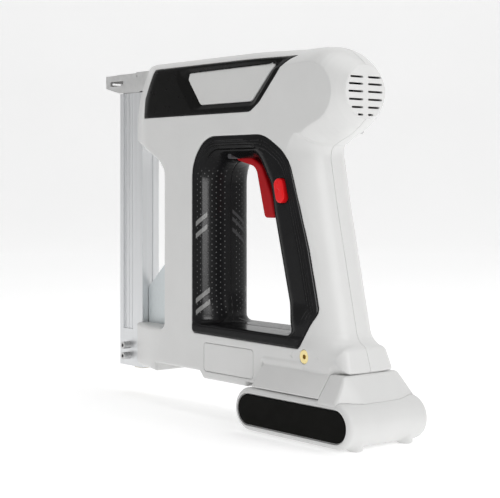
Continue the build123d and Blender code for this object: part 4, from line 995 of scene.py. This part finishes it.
def coil(name, start, axis, length, radius, wire, turns):
    count = int(turns * COIL_STEPS)
    points, faces = [], []
    for i in range(count + 1):
        t = i / count
        turn = 2 * math.pi * turns * t
        rise = np.clip((t * turns - FLAT_TURNS) / (turns - 2 * FLAT_TURNS), 0, 1)
        along = 0.5 * wire + (length - wire) * rise
        for k in range(WIRE_SIDES):
            around = 2 * math.pi * k / WIRE_SIDES
            reach = radius + 0.5 * wire * math.cos(around)
            offset = (along + 0.5 * wire * math.sin(around),
                      reach * math.cos(turn), reach * math.sin(turn))
            if axis == "Z":
                offset = offset[1:] + offset[:1]
            points.append(tuple((a + b) * MM for a, b in zip(start, offset)))
    for i in range(count):
        here, ahead = i * WIRE_SIDES, (i + 1) * WIRE_SIDES
        for k in range(WIRE_SIDES):
            after = (k + 1) % WIRE_SIDES
            faces.append((here + k, here + after, ahead + after, ahead + k))
    faces.append(tuple(range(WIRE_SIDES)))
    faces.append(tuple(count * WIRE_SIDES + k for k in reversed(range(WIRE_SIDES))))
    mesh = bpy.data.meshes.new(name)
    mesh.from_pydata(points, [], faces)
    mesh.validate()
    bm = bmesh.new()
    bm.from_mesh(mesh)
    bmesh.ops.recalc_face_normals(bm, faces=bm.faces)
    bm.to_mesh(mesh)
    bm.free()
    mesh.polygons.foreach_set("use_smooth", np.ones(len(mesh.polygons), dtype=bool))
    mesh.materials.append(MAT["screw"])
    return add_object(name, mesh)


def spring_box(node):
    """low corner, high corner and middle, in mm"""
    low, high = ([v * 1000.0 for v in corner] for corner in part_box(node))
    return low, high, [0.5 * (a + b) for a, b in zip(low, high)]


def return_springs():
    low, high, middle = spring_box("striker_springs")
    for hand, sign in (("left", -1), ("right", 1)):
        ob = coil("return_spring_" + hand, (low[0], sign * 12.0, middle[2]), "X",
                  high[0] - low[0], radius=3.4, wire=1.1, turns=9)
        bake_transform(ob)
        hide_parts("striker_springs")


def blade_spring():
    low, high, middle = spring_box("trigger_spring")
    ob = coil("blade_spring", (low[0], 0.0, middle[2]), "X", high[0] - low[0],
              radius=2.0, wire=0.6, turns=5)
    fit(ob, "housing", "trigger_spring")
    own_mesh(ob)


def feed_spring():
    low, high, middle = spring_box("pusher_spring")
    ob = coil("feed_spring", (middle[0], middle[1], low[2]), "Z", high[2] - low[2],
              radius=4.3, wire=0.8, turns=22)
    fit(ob, "drawer", "pusher_spring")
    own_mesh(ob)


return_springs()
blade_spring()
feed_spring()

# ---------------------------------------------------------------- stage, light, camera (metres)
VIEW = Vector((-0.7765, 0.6301, 0.0))        # level viewing direction
ACROSS = Vector((VIEW.y, -VIEW.x, 0.0))
SWEEP_START, SWEEP_RADIUS, SWEEP_STEPS = 2.2, 1.2, 24
FLOOR_NEAR, FLOOR_HALF, WALL_TOP = -3.5, 5.0, 5.0
TARGET = (-0.1, 0.0, 0.13)


def floor_material():
    material = bpy.data.materials.new("floor_pale")
    material.use_nodes = True
    tree = material.node_tree
    shader = tree.nodes["Principled BSDF"]
    clouds = noise(tree, object_coords(tree), scale=3.0)
    feed(tree, shader, "Base Color", ramp(tree, clouds, (0.90, 0.90, 0.90), (0.92, 0.92, 0.92)))
    feed(tree, shader, "Roughness", 0.9)
    feed(tree, shader, "Emission Color", (1, 1, 1, 1))
    feed(tree, shader, "Emission Strength", 0.36)
    return material


def studio_floor():
    """floor curving up into a wall behind the object"""
    material = floor_material()
    line = [(FLOOR_NEAR, 0.0)]
    for i in range(SWEEP_STEPS + 1):
        turn = math.pi / 2 * i / SWEEP_STEPS
        line.append((SWEEP_START + SWEEP_RADIUS * math.sin(turn),
                     SWEEP_RADIUS - SWEEP_RADIUS * math.cos(turn)))
    line.append((SWEEP_START + SWEEP_RADIUS, WALL_TOP))
    mesh = bpy.data.meshes.new("studio_floor")
    bm = bmesh.new()
    rows = [[bm.verts.new(tuple(VIEW * along + ACROSS * across + Vector((TARGET[0], 0, z))))
             for across in (-FLOOR_HALF, FLOOR_HALF)] for along, z in line]
    for near, far in zip(rows[:-1], rows[1:]):
        bm.faces.new((near[0], near[1], far[1], far[0]))
    bmesh.ops.recalc_face_normals(bm, faces=bm.faces)
    bm.to_mesh(mesh)
    bm.free()
    mesh.materials.append(material)
    for polygon in mesh.polygons:
        polygon.use_smooth = True
    add_object("studio_floor", mesh)


def aim(direction):
    return direction.to_track_quat("-Z", "Y").to_euler()


def area_light(name, location, width, height, power, target=TARGET):
    light = bpy.data.lights.new(name, "AREA")
    light.energy = power
    light.shape = "RECTANGLE"
    light.size = width
    light.size_y = height
    ob = add_object(name, light)
    ob.location = location
    ob.rotation_euler = aim(Vector(target) - Vector(location))
    return ob


studio_floor()

world = bpy.data.worlds.new("studio")
bpy.context.scene.world = world
world.use_nodes = True
background = world.node_tree.nodes["Background"]
feed(world.node_tree, background, "Color", (1.0, 1.0, 1.0, 1))
feed(world.node_tree, background, "Strength", 0.37)

area_light("key_rear", (1.5, 0.25, 0.9), width=1.1, height=1.6, power=11.5)
area_light("fill_left", (-0.5, -1.7, 0.6), width=1.6, height=1.6, power=2.2)
area_light("top_soft", (0.1, 0.1, 1.9), width=1.6, height=1.6, power=10.5)
sheen = area_light("lining_sheen", (0.748, -0.834, 0.16), width=0.70, height=1.3, power=52.0,
                   target=(-0.115, 0.0, 0.13))
# the sheen lights the lining alone
lining_only = bpy.data.collections.new("lining_only")
for hand, _ in HANDS:
    lining_only.objects.link(paired["lining_" + hand])
sheen.light_linking.receiver_collection = lining_only

camera = bpy.data.cameras.new("photo_view")
camera.lens = 95.83
camera.sensor_width = 36.0
camera.shift_y = -0.132
camera_object = add_object("photo_view", camera)
camera_object.location = (0.6659, -0.6093, 0.1710)
camera_object.rotation_euler = aim(VIEW)
bpy.context.scene.camera = camera_object
bpy.context.scene.view_settings.view_transform = "Standard"
